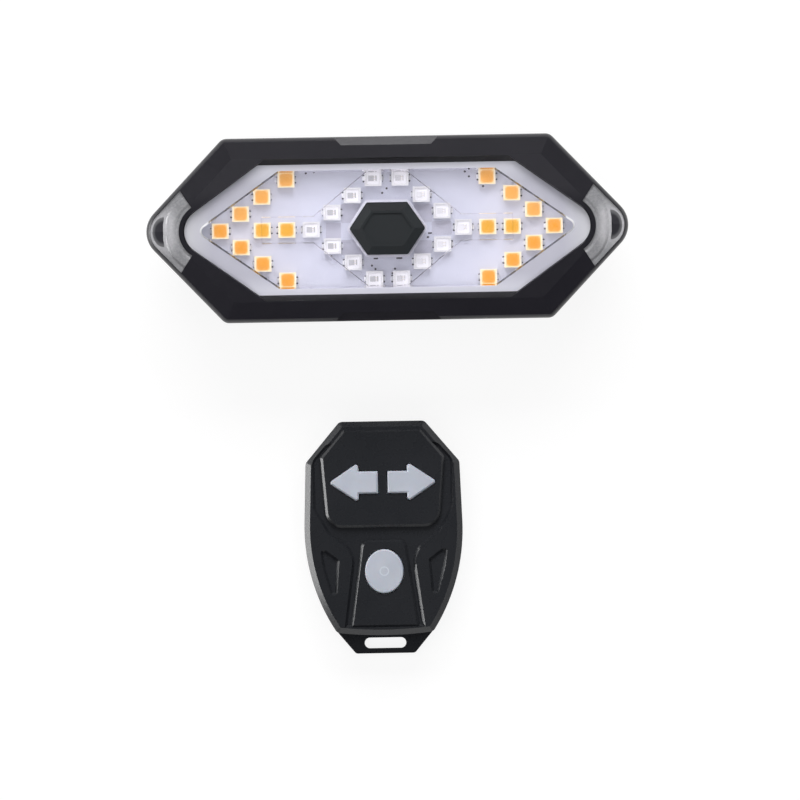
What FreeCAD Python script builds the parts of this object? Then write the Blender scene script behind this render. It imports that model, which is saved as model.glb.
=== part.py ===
import FreeCAD, Part
import math
import os

# A bicycle warning light with turn arrows, and the handlebar remote that works it.
# Both lie on their backs: +Z points out of the lens, +X to the right and +Y up.
# All sizes are in millimetres. The origin is on the table under the middle of the pair.

# Where the two units lie
UNIT_GAP = 20.1
REMOTE_SHIFT_X = -1.8

# Lamps, which set the length and the height of the light. Each side of the middle has four
# columns of the red ring and four of an amber arrowhead, on rows above and below the centre line.
LED_SIZE = (3.4, 3.1, 1.8)
RED_FIRST_COLUMN = 2.7
RED_COLUMN_STEPS = (4.2, 4.1, 4.2)
ARROW_GAP = 4.9
AMBER_COLUMN_STEPS = (4.9, 4.3, 4.1)
LED_ROW_PITCH = 3.35
LED_ROWS = 3
LED_WINDOW = 2.5
LED_WINDOW_DEPTH = 0.3
LED_FILL_DROP = 0.05
RED_CHIP_SIZE = (1.0, 1.0, 0.15)

# Lens outline, a long hexagon around the lamps
LED_EDGE_GAP = 1.1
LENS_TIP_MARGIN = 7.3
LENS_SLOPE = 35.7
LENS_TIP_RADIUS = 4.7
LENS_CORNER_RADIUS = 0.6

# Housing outline, a long hexagon with rounded ends around the lens
FRAME_WIDTH = 5.35
FRAME_END_WIDTH = 7.5
BODY_SLOPE = 46.5
BODY_TIP_RADIUS = 5.4
BODY_CORNER_RADIUS = 2.0
SMALLEST_RADIUS = 0.3

# Heights in the light, added up from the back face of its housing
WALL = 1.8
BACK_THICKNESS = 1.6
BACK_BEVEL = 2.0
TAPE_THICKNESS = 0.4
BATTERY_SIZE = (40.0, 24.0, 4.8)
BATTERY_ROOM = 0.2
SOCKET_SIZE = (8.4, 7.0, 2.4)
BOARD_THICKNESS = 1.2
LED_HEADROOM = 0.5
LEDGE_THICKNESS = 0.9
LEDGE_WIDTH = 0.4
LENS_BASE = 1.6
LENS_STEP = 0.5
LENS_ARROW_STEP = 0.35
LENS_RECESS = 0.65
BEZEL_EDGE_RADIUS = 1.9
BEZEL_FALL_WIDTH = 4.1
BEZEL_FALL = 0.5
MOUTH_LEAN = 1.1
MOUTH_END_LEAN = 0.2
SKIRT_REACH = 0.6

# Fits
LENS_CLEARANCE = 0.08
KEY_CLEARANCE = 0.2
KEY_UNDER_CLEARANCE = 0.1
BOARD_CLEARANCE = 0.13
SCREW_CLEARANCE = 0.05
DOOR_CLEARANCE = 0.15
COVER_CLEARANCE = 0.15

# Relief facets in the middle of the housing's long edges
RELIEF_HALF_LENGTH = 10.6
RELIEF_SLANT = 1.6
RELIEF_WIDTH = 1.7
RELIEF_DEPTH = 1.3

# Raised fields of the lens: the pointed field, and the diamond with its two arrow shafts
FIELD_MARGIN = 1.3
FIELD_END_MARGIN = 3.2
FIELD_SLOPE = 35.1
FIELD_TIP_RADIUS = 1.4
FIELD_CORNER_RADIUS = 0.5
FIELD_BEVEL = 0.35
ARROW_FIELD_BEVEL = 0.15
DIAMOND_HALF_TOP = 4.1
DIAMOND_SLOPE = 39.2
SHAFT_HALF_HEIGHT = 2.7
SHAFT_OVERLAP = 0.2

# End windows
WINDOW_RIM = 0.7
WINDOW_NOSE_GAP = 0.95
WINDOW_ANGLE = 57.0
WINDOW_DEPTH = 1.7
WINDOW_RECESS = 0.25
WINDOW_BAND_WIDTH = 1.6
WINDOW_BAND_RADIUS = 2.2
WINDOW_FOOT_ANGLE = 42.0
WINDOW_FOOT_LENGTH = 3.0
SPOT_RIM = 1.3
SPOT_RADIUS = 2.9

# Centre button
BUTTON_HALF_LENGTH = 7.5
BUTTON_HALF_HEIGHT = 5.25
BUTTON_SLOPE = 55.9
BUTTON_CORNER_RADIUS = 0.5
BUTTON_PROUD = 0.6
BUTTON_BEVEL_WIDTH = 1.7
BUTTON_BEVEL_DROP = 0.55
BUTTON_DISH_RIM = 0.5
BUTTON_FLANGE = 0.5
BUTTON_FLANGE_THICKNESS = 0.8
BUTTON_TRAVEL = 0.5
SWITCH_WIDTH = 5.2
PLUNGER_RADIUS = 1.0

# Parts on the board
CHIP_SIZE = (5.0, 4.0, 1.3)
CHIP_GAP = 7.5
RECEIVER_SIZE = (7.0, 9.0, 0.8)
RECEIVER_CAN = (4.6, 2.2, 1.2)
RECEIVER_GAP = 1.85
RESISTOR_SIZE = (1.6, 0.8, 0.5)
RESISTOR_COLUMNS = (13.8, 18.0)
RESISTOR_ROW = 8.6
SOCKET_WALL = 0.35
LEAD_RADIUS = 0.45
LEAD_PITCH = 3.0
LEAD_REACH = 4.2
LEAD_BEND = 1.6

# Screws of the housing, and posts that hold the board
SCREW_INSET = (1.5, 5.4)
SCREW_RADIUS = 0.8
SCREW_HEAD_RADIUS = 1.8
SCREW_HEAD_HEIGHT = 1.3
SCREW_HEAD_SINK = 0.5
SCREW_HEAD_BEVEL = 0.5
SCREW_RECESS_SHARE = 0.55
SCREW_RECESS_DEPTH = 0.5
SCREW_BOSS_RADIUS = 2.1
SCREW_COLUMN_RADIUS = 2.7
POST_GAP = 2.6
POST_INSET = 2.1
POST_RADIUS = 1.4

# Gaskets
SEAL_WIDTH = 0.7
SEAL_HEIGHT = 0.7
SEAL_ROOM = 0.25

# Charging port and its rubber cover
COVER_HALF_WIDTH = 6.6
COVER_HEIGHT = 4.6
COVER_THICKNESS = 1.1
COVER_KNUCKLE_RADIUS = 0.75
PLUG_HALF_WIDTH = 3.7
PLUG_HEIGHT = 2.0
PLUG_DEPTH = 0.8
COVER_TAB = 1.4
COVER_TAB_ROOT = 0.2

# Seat-post saddle: bracket, rubber pad and strap hooks
POST_GRIP_RADIUS = 15.9
GRIP_HALF_ANGLE = 57.6
PAD_THICKNESS = 1.2
PAD_RIBS = 6
PAD_RIB_GROOVE = 0.9
PAD_GROOVE_DEPTH = 0.4
SADDLE_WEB = 1.0
SADDLE_SIDE_WALL = 1.8
SADDLE_END_GAP = 0.15
EAR_HALF_WIDTH = 9.0
EAR_MARGIN = 2.2
EAR_THICKNESS = 1.8
EAR_SCREW_HEAD = (1.75, 0.95)
SADDLE_BOSS_RADIUS = 1.6
SADDLE_BOSS_GAP = 0.3
SADDLE_BOSS_HEIGHT = 3.4
HOOK_HALF_WIDTH = 7.0
HOOK_REACH = 4.4
HOOK_LIP = 1.8
HOOK_LIP_HEIGHT = 1.9
HOOK_THICKNESS = 2.0
HOOK_LOW = 1.6

# Remote outline, from its own middle
REMOTE_TOP = 23.1
REMOTE_TOP_HALF_WIDTH = 8.5
REMOTE_SHOULDER = (15.4, 14.9)
REMOTE_SIDE_END = (15.8, 3.0)
REMOTE_FOOT = (9.6, -19.1)
REMOTE_LIP_Y = -19.7
REMOTE_CORNER_RADIUS = 1.3
TAB_HALF_WIDTH = 5.9
TAB_Y = -23.3
TAB_LOW = 0.8
TAB_THICKNESS = 2.2
TAB_CORNER_RADIUS = 0.8
TAB_SHOULDER = 0.2
SLOT_LENGTH = 8.3
SLOT_WIDTH = 2.1

# Heights in the remote, from the table
REMOTE_WALL = 1.4
REMOTE_PARTING = 4.6
REMOTE_RIM_BEVEL = 1.1
REMOTE_BACK_BEVEL = 0.8
CHANNEL_DEPTH = 0.8
PAD_RAISE = 0.45
POCKET_DEPTH = 0.7
EDGE_BEVEL = 0.5
REMOTE_BOARD_THICKNESS = 1.0
REMOTE_BOARD_CLEARANCE = 0.3
REMOTE_SEAL_WIDTH = 0.5

# Fields on the remote's face: right halves of their outlines, from top to bottom
PAD_SIDE = ((12.5, 17.0), (11.3, 1.9))
PAD_CORNER_RADIUS = 3.4
CHANNEL_SIDE = ((11.0, 18.9), (14.1, 15.4), (14.0, 5.6), (11.2, 0.8), (7.3, -2.2), (6.3, -4.6), (8.1, -18.1))
CHANNEL_CORNER_RADIUS = 2.5
PANEL_SIDE = ((4.4, -0.6), (5.8, -10.3), (6.9, -18.1))
PANEL_CORNER_RADIUS = 1.7
POCKET_OUTLINE = ((12.9, -1.6), (12.3, -6.0), (11.1, -10.3), (9.7, -14.1), (8.9, -4.6))
POCKET_CORNER_RADIUS = 0.7

# Keys of the remote
ARROW_TIP = 10.85
ARROW_NECK = 4.85
ARROW_TAIL = 0.97
ARROW_HALF_HEAD = 4.0
ARROW_HALF_SHAFT = 2.2
ARROW_Y = 10.9
ARROW_CORNER_RADIUS = 0.5
ARROW_PROUD = 0.5
ROUND_KEY_SIZE = (3.85, 4.4)
ROUND_KEY_Y = -6.9
ROUND_KEY_PROUD = 0.45
KEY_FLANGE = 0.6
KEY_FLANGE_THICKNESS = 0.6
KEY_EDGE = 0.3
KEY_TRAVEL = 0.3
DOME_RADIUS = 2.4
DOME_HEIGHT = 0.3
REMOTE_CHIP_SIZE = (5.0, 4.0, 0.9)
REMOTE_CHIP_Y = 2.3

# Coin cell, its holder and its twist door
CELL_RADIUS = 10.0
CELL_THICKNESS = 3.2
CELL_Y = 1.0
CELL_CLEARANCE = 0.15
HOLDER_WALL = 0.8
DOOR_NECK_MARGIN = 0.5
DOOR_RIM_WIDTH = 0.9
DOOR_RIM_THICKNESS = 0.65
DOOR_INSET = 0.15
DOOR_LUG_HALF_ANGLE = 14.0
DOOR_LUG_REACH = 0.7
DOOR_LUG_THICKNESS = 0.5
DOOR_LUG_ROOT = 1.0
DOOR_NOTCH_SPREAD = 2.0
DOOR_SLOT = (9.0, 1.6, 0.5)
DOOR_SEAL_THICKNESS = 0.2
CONTACT_THICKNESS = 0.25
CONTACT_ROOM = 0.35
CONTACT_WIDTH = 3.0
REMOTE_SCREW_PLACES = ((6.5, 18.6), (8.0, -14.2))
REMOTE_SCREW_RADIUS = 0.6
REMOTE_SCREW_HEAD = (1.4, 0.9)
REMOTE_COLUMN_RADIUS = 1.7
REMOTE_SCREW_GAP = 0.1

# Worked-out columns of the lamps, and the outlines around them
def columns(first, steps):
    places = [first]
    for step in steps:
        places.append(places[-1] + step)
    return places


red_columns = columns(RED_FIRST_COLUMN, RED_COLUMN_STEPS)
amber_columns = columns(red_columns[-1] + ARROW_GAP, AMBER_COLUMN_STEPS)
lens_half_length = amber_columns[-1] + LENS_TIP_MARGIN
lens_half_height = LED_ROWS * LED_ROW_PITCH + LED_SIZE[1] / 2 + LED_EDGE_GAP + LEDGE_WIDTH
body_half_length = lens_half_length + FRAME_END_WIDTH
body_half_height = lens_half_height + FRAME_WIDTH

# Worked-out heights of the light
grip_axis_z = -POST_GRIP_RADIUS * math.cos(math.radians(GRIP_HALF_ANGLE))
back_z = grip_axis_z + POST_GRIP_RADIUS + PAD_THICKNESS + SADDLE_WEB
floor_z = back_z + BACK_THICKNESS
battery_z = floor_z + TAPE_THICKNESS
board_z = battery_z + BATTERY_SIZE[2] + BATTERY_ROOM + SOCKET_SIZE[2]
cover_mid_z = board_z - SOCKET_SIZE[2] / 2
cover_low_z = cover_mid_z - COVER_HEIGHT / 2
parting_z = cover_low_z - COVER_CLEARANCE - SEAL_ROOM - SEAL_HEIGHT
board_top_z = board_z + BOARD_THICKNESS
lens_z = board_top_z + LED_SIZE[2] + LED_HEADROOM
ledge_z = lens_z - LEDGE_THICKNESS
lens_base_z = lens_z + LENS_BASE
field_z = lens_base_z + LENS_STEP
arrow_z = field_z + LENS_ARROW_STEP
bezel_z = arrow_z + LENS_RECESS
window_seat_z = bezel_z - WINDOW_DEPTH
button_top_z = bezel_z + BUTTON_PROUD
button_flange_top = lens_z - KEY_UNDER_CLEARANCE
button_flange_low = button_flange_top - BUTTON_FLANGE_THICKNESS
switch_height = button_flange_low - BUTTON_TRAVEL - KEY_UNDER_CLEARANCE - board_top_z

# Worked-out places of the two units along Y
remote_length = REMOTE_TOP - TAB_Y
pair_length = 2 * body_half_height + UNIT_GAP + remote_length
light_y = pair_length / 2 - body_half_height
remote_y = -pair_length / 2 - TAB_Y
light_place = FreeCAD.Vector(0, light_y, 0)
remote_place = FreeCAD.Vector(REMOTE_SHIFT_X, remote_y, 0)

# Worked-out heights of the remote, from its battery door up to its face
door_step_z = DOOR_INSET + DOOR_RIM_THICKNESS + DOOR_SEAL_THICKNESS + KEY_UNDER_CLEARANCE
door_lip_top = door_step_z + DOOR_RIM_THICKNESS
lug_low = door_lip_top + KEY_UNDER_CLEARANCE
door_top = lug_low + DOOR_LUG_THICKNESS
cell_z = door_top + KEY_UNDER_CLEARANCE
remote_board_low = cell_z + CELL_THICKNESS + CONTACT_ROOM
remote_board_top = remote_board_low + REMOTE_BOARD_THICKNESS
flange_low_z = remote_board_top + DOME_HEIGHT + KEY_TRAVEL + KEY_UNDER_CLEARANCE
flange_top_z = flange_low_z + KEY_FLANGE_THICKNESS
ceiling_z = flange_top_z + KEY_UNDER_CLEARANCE
channel_z = ceiling_z + REMOTE_WALL
ring_top_z = channel_z + CHANNEL_DEPTH
remote_pad_z = ring_top_z + PAD_RAISE

# Worked-out places that several pieces share
door_neck_radius = CELL_RADIUS + DOOR_NECK_MARGIN
door_rim_radius = door_neck_radius + DOOR_RIM_WIDTH
slot_y = (REMOTE_FOOT[1] + TAB_Y) / 2
post_place = (BATTERY_SIZE[0] / 2 + POST_GAP + POST_RADIUS, lens_half_height - POST_INSET)
saddle_screw_y = BATTERY_SIZE[1] / 2 + SADDLE_BOSS_GAP + SADDLE_BOSS_RADIUS
saddle_half_length = saddle_screw_y - EAR_SCREW_HEAD[0] - SADDLE_END_GAP

UP = FreeCAD.Vector(0, 0, 1)


def vec(x, y, z=0.0):
    return FreeCAD.Vector(x, y, z)


def tapered(low_points, low, high_points, high):
    """A solid with flat sides between two outlines that have the same corners."""
    below = [vec(x, y, low) for x, y in low_points]
    above = [vec(x, y, high) for x, y in high_points]
    rings = [below, above]
    rings += [[below[i - 1], below[i], above[i], above[i - 1]] for i in range(len(below))]
    return Part.makeSolid(Part.Shell([Part.Face(Part.makePolygon(ring + ring[:1])) for ring in rings]))


def prism(points, low, high):
    """A straight block on the closed polygon through the points."""
    corners = [vec(x, y, low) for x, y in points]
    face = Part.Face(Part.makePolygon(corners + corners[:1]))
    return face.extrude(vec(0, 0, high - low))


def rounded_prism(points, low, high, radius):
    solid = prism(points, low, high)
    return solid.makeFillet(radius, [e for e in solid.Edges if is_upright(e)])


def box(x0, x1, y0, y1, z0, z1):
    return Part.makeBox(x1 - x0, y1 - y0, z1 - z0, vec(x0, y0, z0))


def rod(radius, x, y, z0, z1):
    return Part.makeCylinder(radius, z1 - z0, vec(x, y, z0))


def centred_box(size, x, y, low):
    return box(x - size[0] / 2, x + size[0] / 2, y - size[1] / 2, y + size[1] / 2, low, low + size[2])


def is_upright(edge):
    start, end = edge.Vertexes[0].Point, edge.Vertexes[-1].Point
    return abs(start.x - end.x) + abs(start.y - end.y) < 1e-6 and abs(start.z - end.z) > 1e-6


def edges_at(shape, z):
    """The level edges that lie at the height z."""
    return [e for e in shape.Edges if all(abs(v.Point.z - z) < 1e-6 for v in e.Vertexes)
            and abs(e.CenterOfMass.z - z) < 1e-6]


def mirrored(shape):
    """The same shape on the other side of the plane X = 0."""
    return shape.mirror(vec(0, 0), vec(1, 0))


def at_four(place):
    x, y = place
    return [(sx * x, sy * y) for sx in (-1, 1) for sy in (-1, 1)]


def fused(solids):
    first = solids[0]
    whole = first.fuse(solids[1:]) if len(solids) > 1 else first
    return whole.removeSplitter()


class Hexagon:
    """A long hexagon about the middle of the light, with rounded tips and corners."""

    def __init__(self, half_length, half_height, slope, tip_radius, corner_radius):
        self.slope = math.radians(slope)
        self.half_height = half_height
        self.tip_radius = tip_radius
        self.corner_radius = corner_radius
        self.apex = half_length + tip_radius * (1 / math.sin(self.slope) - 1)
        self.corner = self.apex - half_height / math.tan(self.slope)

    def corners(self, inset=0.0):
        half_height = self.half_height - inset
        apex = self.apex - inset / math.sin(self.slope)
        corner = apex - half_height / math.tan(self.slope)
        points = [(corner, half_height), (apex, 0), (corner, -half_height)]
        return points + [(-x, y) for x, y in reversed(points)]

    def block(self, low, high, inset=0.0):
        half_height = self.half_height - inset
        solid = prism(self.corners(inset), low, high)
        tips = [e for e in solid.Edges if is_upright(e) and abs(e.CenterOfMass.y) < 1e-3]
        solid = solid.makeFillet(max(self.tip_radius - inset, SMALLEST_RADIUS), tips)
        ends = [e for e in solid.Edges if is_upright(e) and abs(abs(e.CenterOfMass.y) - half_height) < 1e-3]
        return solid.makeFillet(max(self.corner_radius - inset, SMALLEST_RADIUS), ends)


body = Hexagon(body_half_length, body_half_height, BODY_SLOPE, BODY_TIP_RADIUS, BODY_CORNER_RADIUS)
lens = Hexagon(lens_half_length, lens_half_height, LENS_SLOPE, LENS_TIP_RADIUS, LENS_CORNER_RADIUS)
field_half_height = lens_half_height - FIELD_MARGIN
field = Hexagon(lens_half_length - FIELD_END_MARGIN, field_half_height, FIELD_SLOPE, FIELD_TIP_RADIUS,
                FIELD_CORNER_RADIUS)
mouth = Hexagon(lens_half_length + MOUTH_END_LEAN, lens_half_height + MOUTH_LEAN, LENS_SLOPE,
                LENS_TIP_RADIUS, LENS_CORNER_RADIUS)
button = Hexagon(BUTTON_HALF_LENGTH, BUTTON_HALF_HEIGHT, BUTTON_SLOPE, BUTTON_CORNER_RADIUS,
                 BUTTON_CORNER_RADIUS)
screw_place = (body.corner - SCREW_INSET[0], body_half_height - SCREW_INSET[1])
nose_x = lens_half_length - LENS_TIP_RADIUS
nose_radius = LENS_TIP_RADIUS + WINDOW_NOSE_GAP
parts = {}


def keep(name, shape, place):
    moved = shape.copy()
    moved.translate(place)
    parts[name] = moved


# Front frame of the light

def fan(angle, radius, low, high):
    """A wedge about the centre of the lens's right nose, open by the angle each way."""
    rise = math.radians(angle)
    far_x = nose_x + radius * math.cos(rise)
    far_y = radius * math.sin(rise)
    return prism([(nose_x, 0), (far_x, -far_y), (nose_x + 2 * radius, -far_y),
                  (nose_x + 2 * radius, far_y), (far_x, far_y)], low, high)


def below_face(low, sink=0.0):
    """All that lies under the frame's face, whose flat sides fall away towards the rim."""
    rim_z = bezel_z - BEZEL_FALL - sink
    falling = tapered(body.corners(), rim_z, body.corners(BEZEL_FALL_WIDTH), bezel_z - sink)
    return prism(body.corners(), low, rim_z).fuse(falling)


def window_outline(low, high, clearance=0.0):
    """The crescent between the lens's nose and the rim of the housing's right end."""
    crescent = body.block(low, high, WINDOW_RIM + clearance)
    crescent = crescent.common(fan(WINDOW_ANGLE - 2 * clearance, body_half_length, low, high))
    return crescent.cut(rod(nose_radius + clearance, nose_x, 0, low, high))


def window_foot(low, high, clearance=0.0):
    """The curved light guide under the right window."""
    inner = nose_radius + WINDOW_BAND_WIDTH / 2 + clearance
    outer = inner + WINDOW_BAND_WIDTH - 2 * clearance
    ring = rod(outer, nose_x, 0, low, high).cut(rod(inner, nose_x, 0, low, high))
    return ring.common(fan(WINDOW_FOOT_ANGLE - 2 * clearance, body_half_length, low, high))


spot_x = nose_x + nose_radius + 2 * WINDOW_BAND_WIDTH


def spot(low, high):
    """The dark half-moon near the right tip."""
    moon = rod(SPOT_RADIUS, body_half_length - SPOT_RIM - SPOT_RADIUS, 0, low, high)
    return moon.common(box(spot_x, body_half_length, -SPOT_RADIUS, SPOT_RADIUS, low, high))


def relief(side):
    """The wedge that is taken off a long edge, above for side 1 and below for side -1."""
    edge = body_half_height
    inner = edge - RELIEF_WIDTH
    low = bezel_z - RELIEF_DEPTH
    outer_wire = Part.makePolygon([vec(-RELIEF_HALF_LENGTH, side * edge, low),
                                   vec(RELIEF_HALF_LENGTH, side * edge, low),
                                   vec(RELIEF_HALF_LENGTH, side * edge, bezel_z + 1),
                                   vec(-RELIEF_HALF_LENGTH, side * edge, bezel_z + 1),
                                   vec(-RELIEF_HALF_LENGTH, side * edge, low)])
    short = RELIEF_HALF_LENGTH - RELIEF_SLANT
    shallow = bezel_z - RELIEF_DEPTH / 3
    inner_wire = Part.makePolygon([vec(-short, side * inner, shallow), vec(short, side * inner, shallow),
                                   vec(short, side * inner, bezel_z + 1),
                                   vec(-short, side * inner, bezel_z + 1),
                                   vec(-short, side * inner, shallow)])
    return Part.makeLoft([outer_wire, inner_wire], True, True)


# Rubber cover of the charging port, in the lower edge of the front frame
knuckle_x = -COVER_HALF_WIDTH
knuckle_y = -body_half_height + COVER_KNUCKLE_RADIUS


def cover_room():
    """The recess and the mouth in the frame's lower wall."""
    gap = COVER_CLEARANCE
    low, high = cover_low_z - gap, cover_low_z + COVER_HEIGHT + gap
    outside = -body_half_height - 1
    seat = -body_half_height + COVER_THICKNESS + gap
    room = box(knuckle_x, COVER_HALF_WIDTH + gap, outside, seat, low, high)
    swing = COVER_KNUCKLE_RADIUS + 2 * gap
    room = room.fuse([rod(swing, knuckle_x, knuckle_y, low, high),
                      box(knuckle_x - swing, knuckle_x, outside, knuckle_y, low, high)])
    mouth_low = cover_mid_z - PLUG_HEIGHT / 2 - gap
    mouth = box(-PLUG_HALF_WIDTH - gap, PLUG_HALF_WIDTH + 3 * gap, outside, -body_half_height + 2 * WALL,
                mouth_low, mouth_low + PLUG_HEIGHT + 2 * gap)
    nail_room = box(COVER_HALF_WIDTH, COVER_HALF_WIDTH + COVER_TAB, outside, -body_half_height + WALL / 2,
                    cover_mid_z - COVER_TAB / 2, cover_mid_z + COVER_TAB / 2)
    return room.fuse([mouth, nail_room])


def front_bezel():
    solid = body.block(parting_z, bezel_z)
    solid = solid.makeFillet(BEZEL_EDGE_RADIUS, edges_at(solid, bezel_z)).common(below_face(parting_z))
    cuts = [body.block(parting_z, ledge_z, WALL)]
    cuts.append(lens.block(ledge_z, bezel_z + 1, LEDGE_WIDTH))
    opening = lens.block(lens_z, lens_base_z)
    flare = tapered(lens.corners(), lens_base_z, mouth.corners(), bezel_z)
    flare = flare.common(mouth.block(lens_base_z, bezel_z))
    cuts += [opening, flare, relief(1), relief(-1), cover_room()]
    pocket = window_outline(window_seat_z, bezel_z + 1).cut(spot(window_seat_z, bezel_z + 1))
    passage = window_foot(ledge_z - 1, window_seat_z)
    top_of_spot = spot(window_seat_z, bezel_z + 1).cut(below_face(ledge_z, 2 * WINDOW_RECESS))
    for cutter in (pocket, passage, top_of_spot):
        cuts += [cutter, mirrored(cutter)]
    solid = solid.cut(cuts)
    skirt = lens.block(board_top_z, ledge_z, -SKIRT_REACH)
    skirt = skirt.cut(lens.block(board_top_z, ledge_z, LEDGE_WIDTH))
    adds = [skirt]
    adds += [rod(SCREW_BOSS_RADIUS, x, y, parting_z, ledge_z) for x, y in at_four(screw_place)]
    solid = fused([solid] + adds)
    holes = [rod(SCREW_RADIUS + SCREW_CLEARANCE, x, y, parting_z, ledge_z) for x, y in at_four(screw_place)]
    return solid.cut(holes + [seal_ring()])


# Gasket between the two halves of the housing
def seal_ring():
    first = (WALL - SEAL_WIDTH) / 2
    ring = body.block(parting_z, parting_z + SEAL_HEIGHT, first)
    return ring.cut(body.block(parting_z, parting_z + SEAL_HEIGHT, first + SEAL_WIDTH))


# Clear lens with its raised pointed field, diamond and arrow shafts

def arrow_field(low, high):
    rise = math.tan(math.radians(DIAMOND_SLOPE))
    half_height = field_half_height - FIELD_BEVEL
    tip_x = DIAMOND_HALF_TOP + half_height / rise
    neck_x = tip_x - SHAFT_HALF_HEIGHT / rise
    right = [(DIAMOND_HALF_TOP, half_height), (neck_x, SHAFT_HALF_HEIGHT),
             (amber_columns[1] + SHAFT_OVERLAP, SHAFT_HALF_HEIGHT)]
    right += [(x, -y) for x, y in reversed(right)]
    left = [(-x, -y) for x, y in right]
    return prism(right + left, low, high)


def front_lens():
    plate = lens.block(lens_z, lens_base_z, LENS_CLEARANCE)
    raised = field.block(lens_base_z, field_z)
    raised = raised.makeChamfer(FIELD_BEVEL, edges_at(raised, field_z))
    arrows = arrow_field(field_z, arrow_z)
    arrows = arrows.makeChamfer(ARROW_FIELD_BEVEL, edges_at(arrows, arrow_z))
    hole = button.block(lens_z, arrow_z + 1, -KEY_CLEARANCE)
    return fused([plate, raised, arrows]).cut(hole)


# Frosted window at each end, with its rounded band and its foot into the housing
def end_window():
    gap = LENS_CLEARANCE
    top_z = bezel_z - WINDOW_RECESS
    plate = window_outline(window_seat_z, top_z, gap).common(below_face(ledge_z, 2 * WINDOW_RECESS))
    band_mid = nose_radius + WINDOW_BAND_WIDTH
    band = Part.makeTorus(band_mid, WINDOW_BAND_RADIUS, vec(nose_x, 0, top_z - WINDOW_BAND_RADIUS))
    band = band.common(window_outline(window_seat_z, top_z, 3 * gap))
    band = band.common(below_face(ledge_z, WINDOW_RECESS))
    foot = window_foot(ledge_z - WINDOW_FOOT_LENGTH + WINDOW_DEPTH, window_seat_z, gap)
    return fused([plate.fuse(band), foot]).cut(spot(window_seat_z, bezel_z))


# Centre button, the switch under it and the switch's plunger

def main_button():
    shoulder_z = button_top_z - BUTTON_BEVEL_DROP
    stem = button.block(button_flange_top, shoulder_z)
    shoulder = [f for f in stem.Faces if abs(f.CenterOfMass.z - shoulder_z) < 1e-6][0].OuterWire
    crown = shoulder.makeOffset2D(-BUTTON_BEVEL_WIDTH)
    crown.translate(vec(0, 0, BUTTON_BEVEL_DROP))
    slope = Part.makeLoft([shoulder, crown], True, True)
    dish = button.block(button_top_z - BUTTON_BEVEL_DROP / 2, button_top_z,
                        BUTTON_BEVEL_WIDTH + BUTTON_DISH_RIM)
    flange = button.block(button_flange_low, button_flange_top, -BUTTON_FLANGE)
    return fused([stem, slope, flange]).cut(dish)


def main_switch():
    case = centred_box((SWITCH_WIDTH, SWITCH_WIDTH, switch_height), 0, 0, board_top_z)
    return case.cut(rod(PLUNGER_RADIUS + SCREW_CLEARANCE, 0, 0, board_top_z, board_top_z + switch_height))


def switch_plunger():
    return rod(PLUNGER_RADIUS, 0, 0, board_top_z + BUTTON_TRAVEL + KEY_UNDER_CLEARANCE, button_flange_low)


# Board and lamps

def led_board():
    return lens.block(board_z, board_top_z, -SKIRT_REACH - BOARD_CLEARANCE)


def amber_places(side):
    places = [(side * x, 0.0) for x in amber_columns[:2]]
    for step, x in enumerate(amber_columns):
        y = (LED_ROWS - step) * LED_ROW_PITCH
        places += [(side * x, y), (side * x, -y)] if y > 0 else [(side * x, 0.0)]
    return places


def red_places():
    places = []
    for side in (-1, 1):
        for step, x in enumerate(red_columns):
            y = (LED_ROWS - step) * LED_ROW_PITCH
            places += [(side * x, y), (side * x, -y)] if y > 0 else [(side * x, 0.0)]
    return places


def led_window(x, y, depth_from, depth_to):
    top = board_top_z + LED_SIZE[2]
    return box(x - LED_WINDOW / 2, x + LED_WINDOW / 2, y - LED_WINDOW / 2, y + LED_WINDOW / 2,
               top - depth_from, top - depth_to)


def led_cases(places):
    cases = []
    for x, y in places:
        case = centred_box(LED_SIZE, x, y, board_top_z)
        cases.append(case.cut(led_window(x, y, LED_WINDOW_DEPTH, 0)))
    return Part.makeCompound(cases)


def led_fills(places):
    return Part.makeCompound([led_window(x, y, LED_WINDOW_DEPTH, LED_FILL_DROP) for x, y in places])


def red_chips():
    floor = board_top_z + LED_SIZE[2] - LED_WINDOW_DEPTH
    return Part.makeCompound([centred_box(RED_CHIP_SIZE, x, y, floor) for x, y in red_places()])


def resistors():
    rows = []
    for side in (-1, 1):
        for x in RESISTOR_COLUMNS:
            rows += [centred_box(RESISTOR_SIZE, across * x, side * RESISTOR_ROW, board_z - RESISTOR_SIZE[2])
                     for across in (-1, 1)]
    return Part.makeCompound(rows)


def driver_chip():
    x = -BATTERY_SIZE[0] / 2 - CHIP_GAP - CHIP_SIZE[0] / 2
    return centred_box(CHIP_SIZE, x, 0, board_z - CHIP_SIZE[2])


def receiver():
    x = BATTERY_SIZE[0] / 2 + LEAD_REACH + LEAD_RADIUS + RECEIVER_GAP + RECEIVER_SIZE[0] / 2
    base = centred_box(RECEIVER_SIZE, x, 0, board_z - RECEIVER_SIZE[2])
    can = centred_box(RECEIVER_CAN, x, 0, board_z - RECEIVER_SIZE[2] - RECEIVER_CAN[2])
    return fused([base, can])


socket_mouth_y = -body_half_height + WALL + COVER_CLEARANCE


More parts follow.
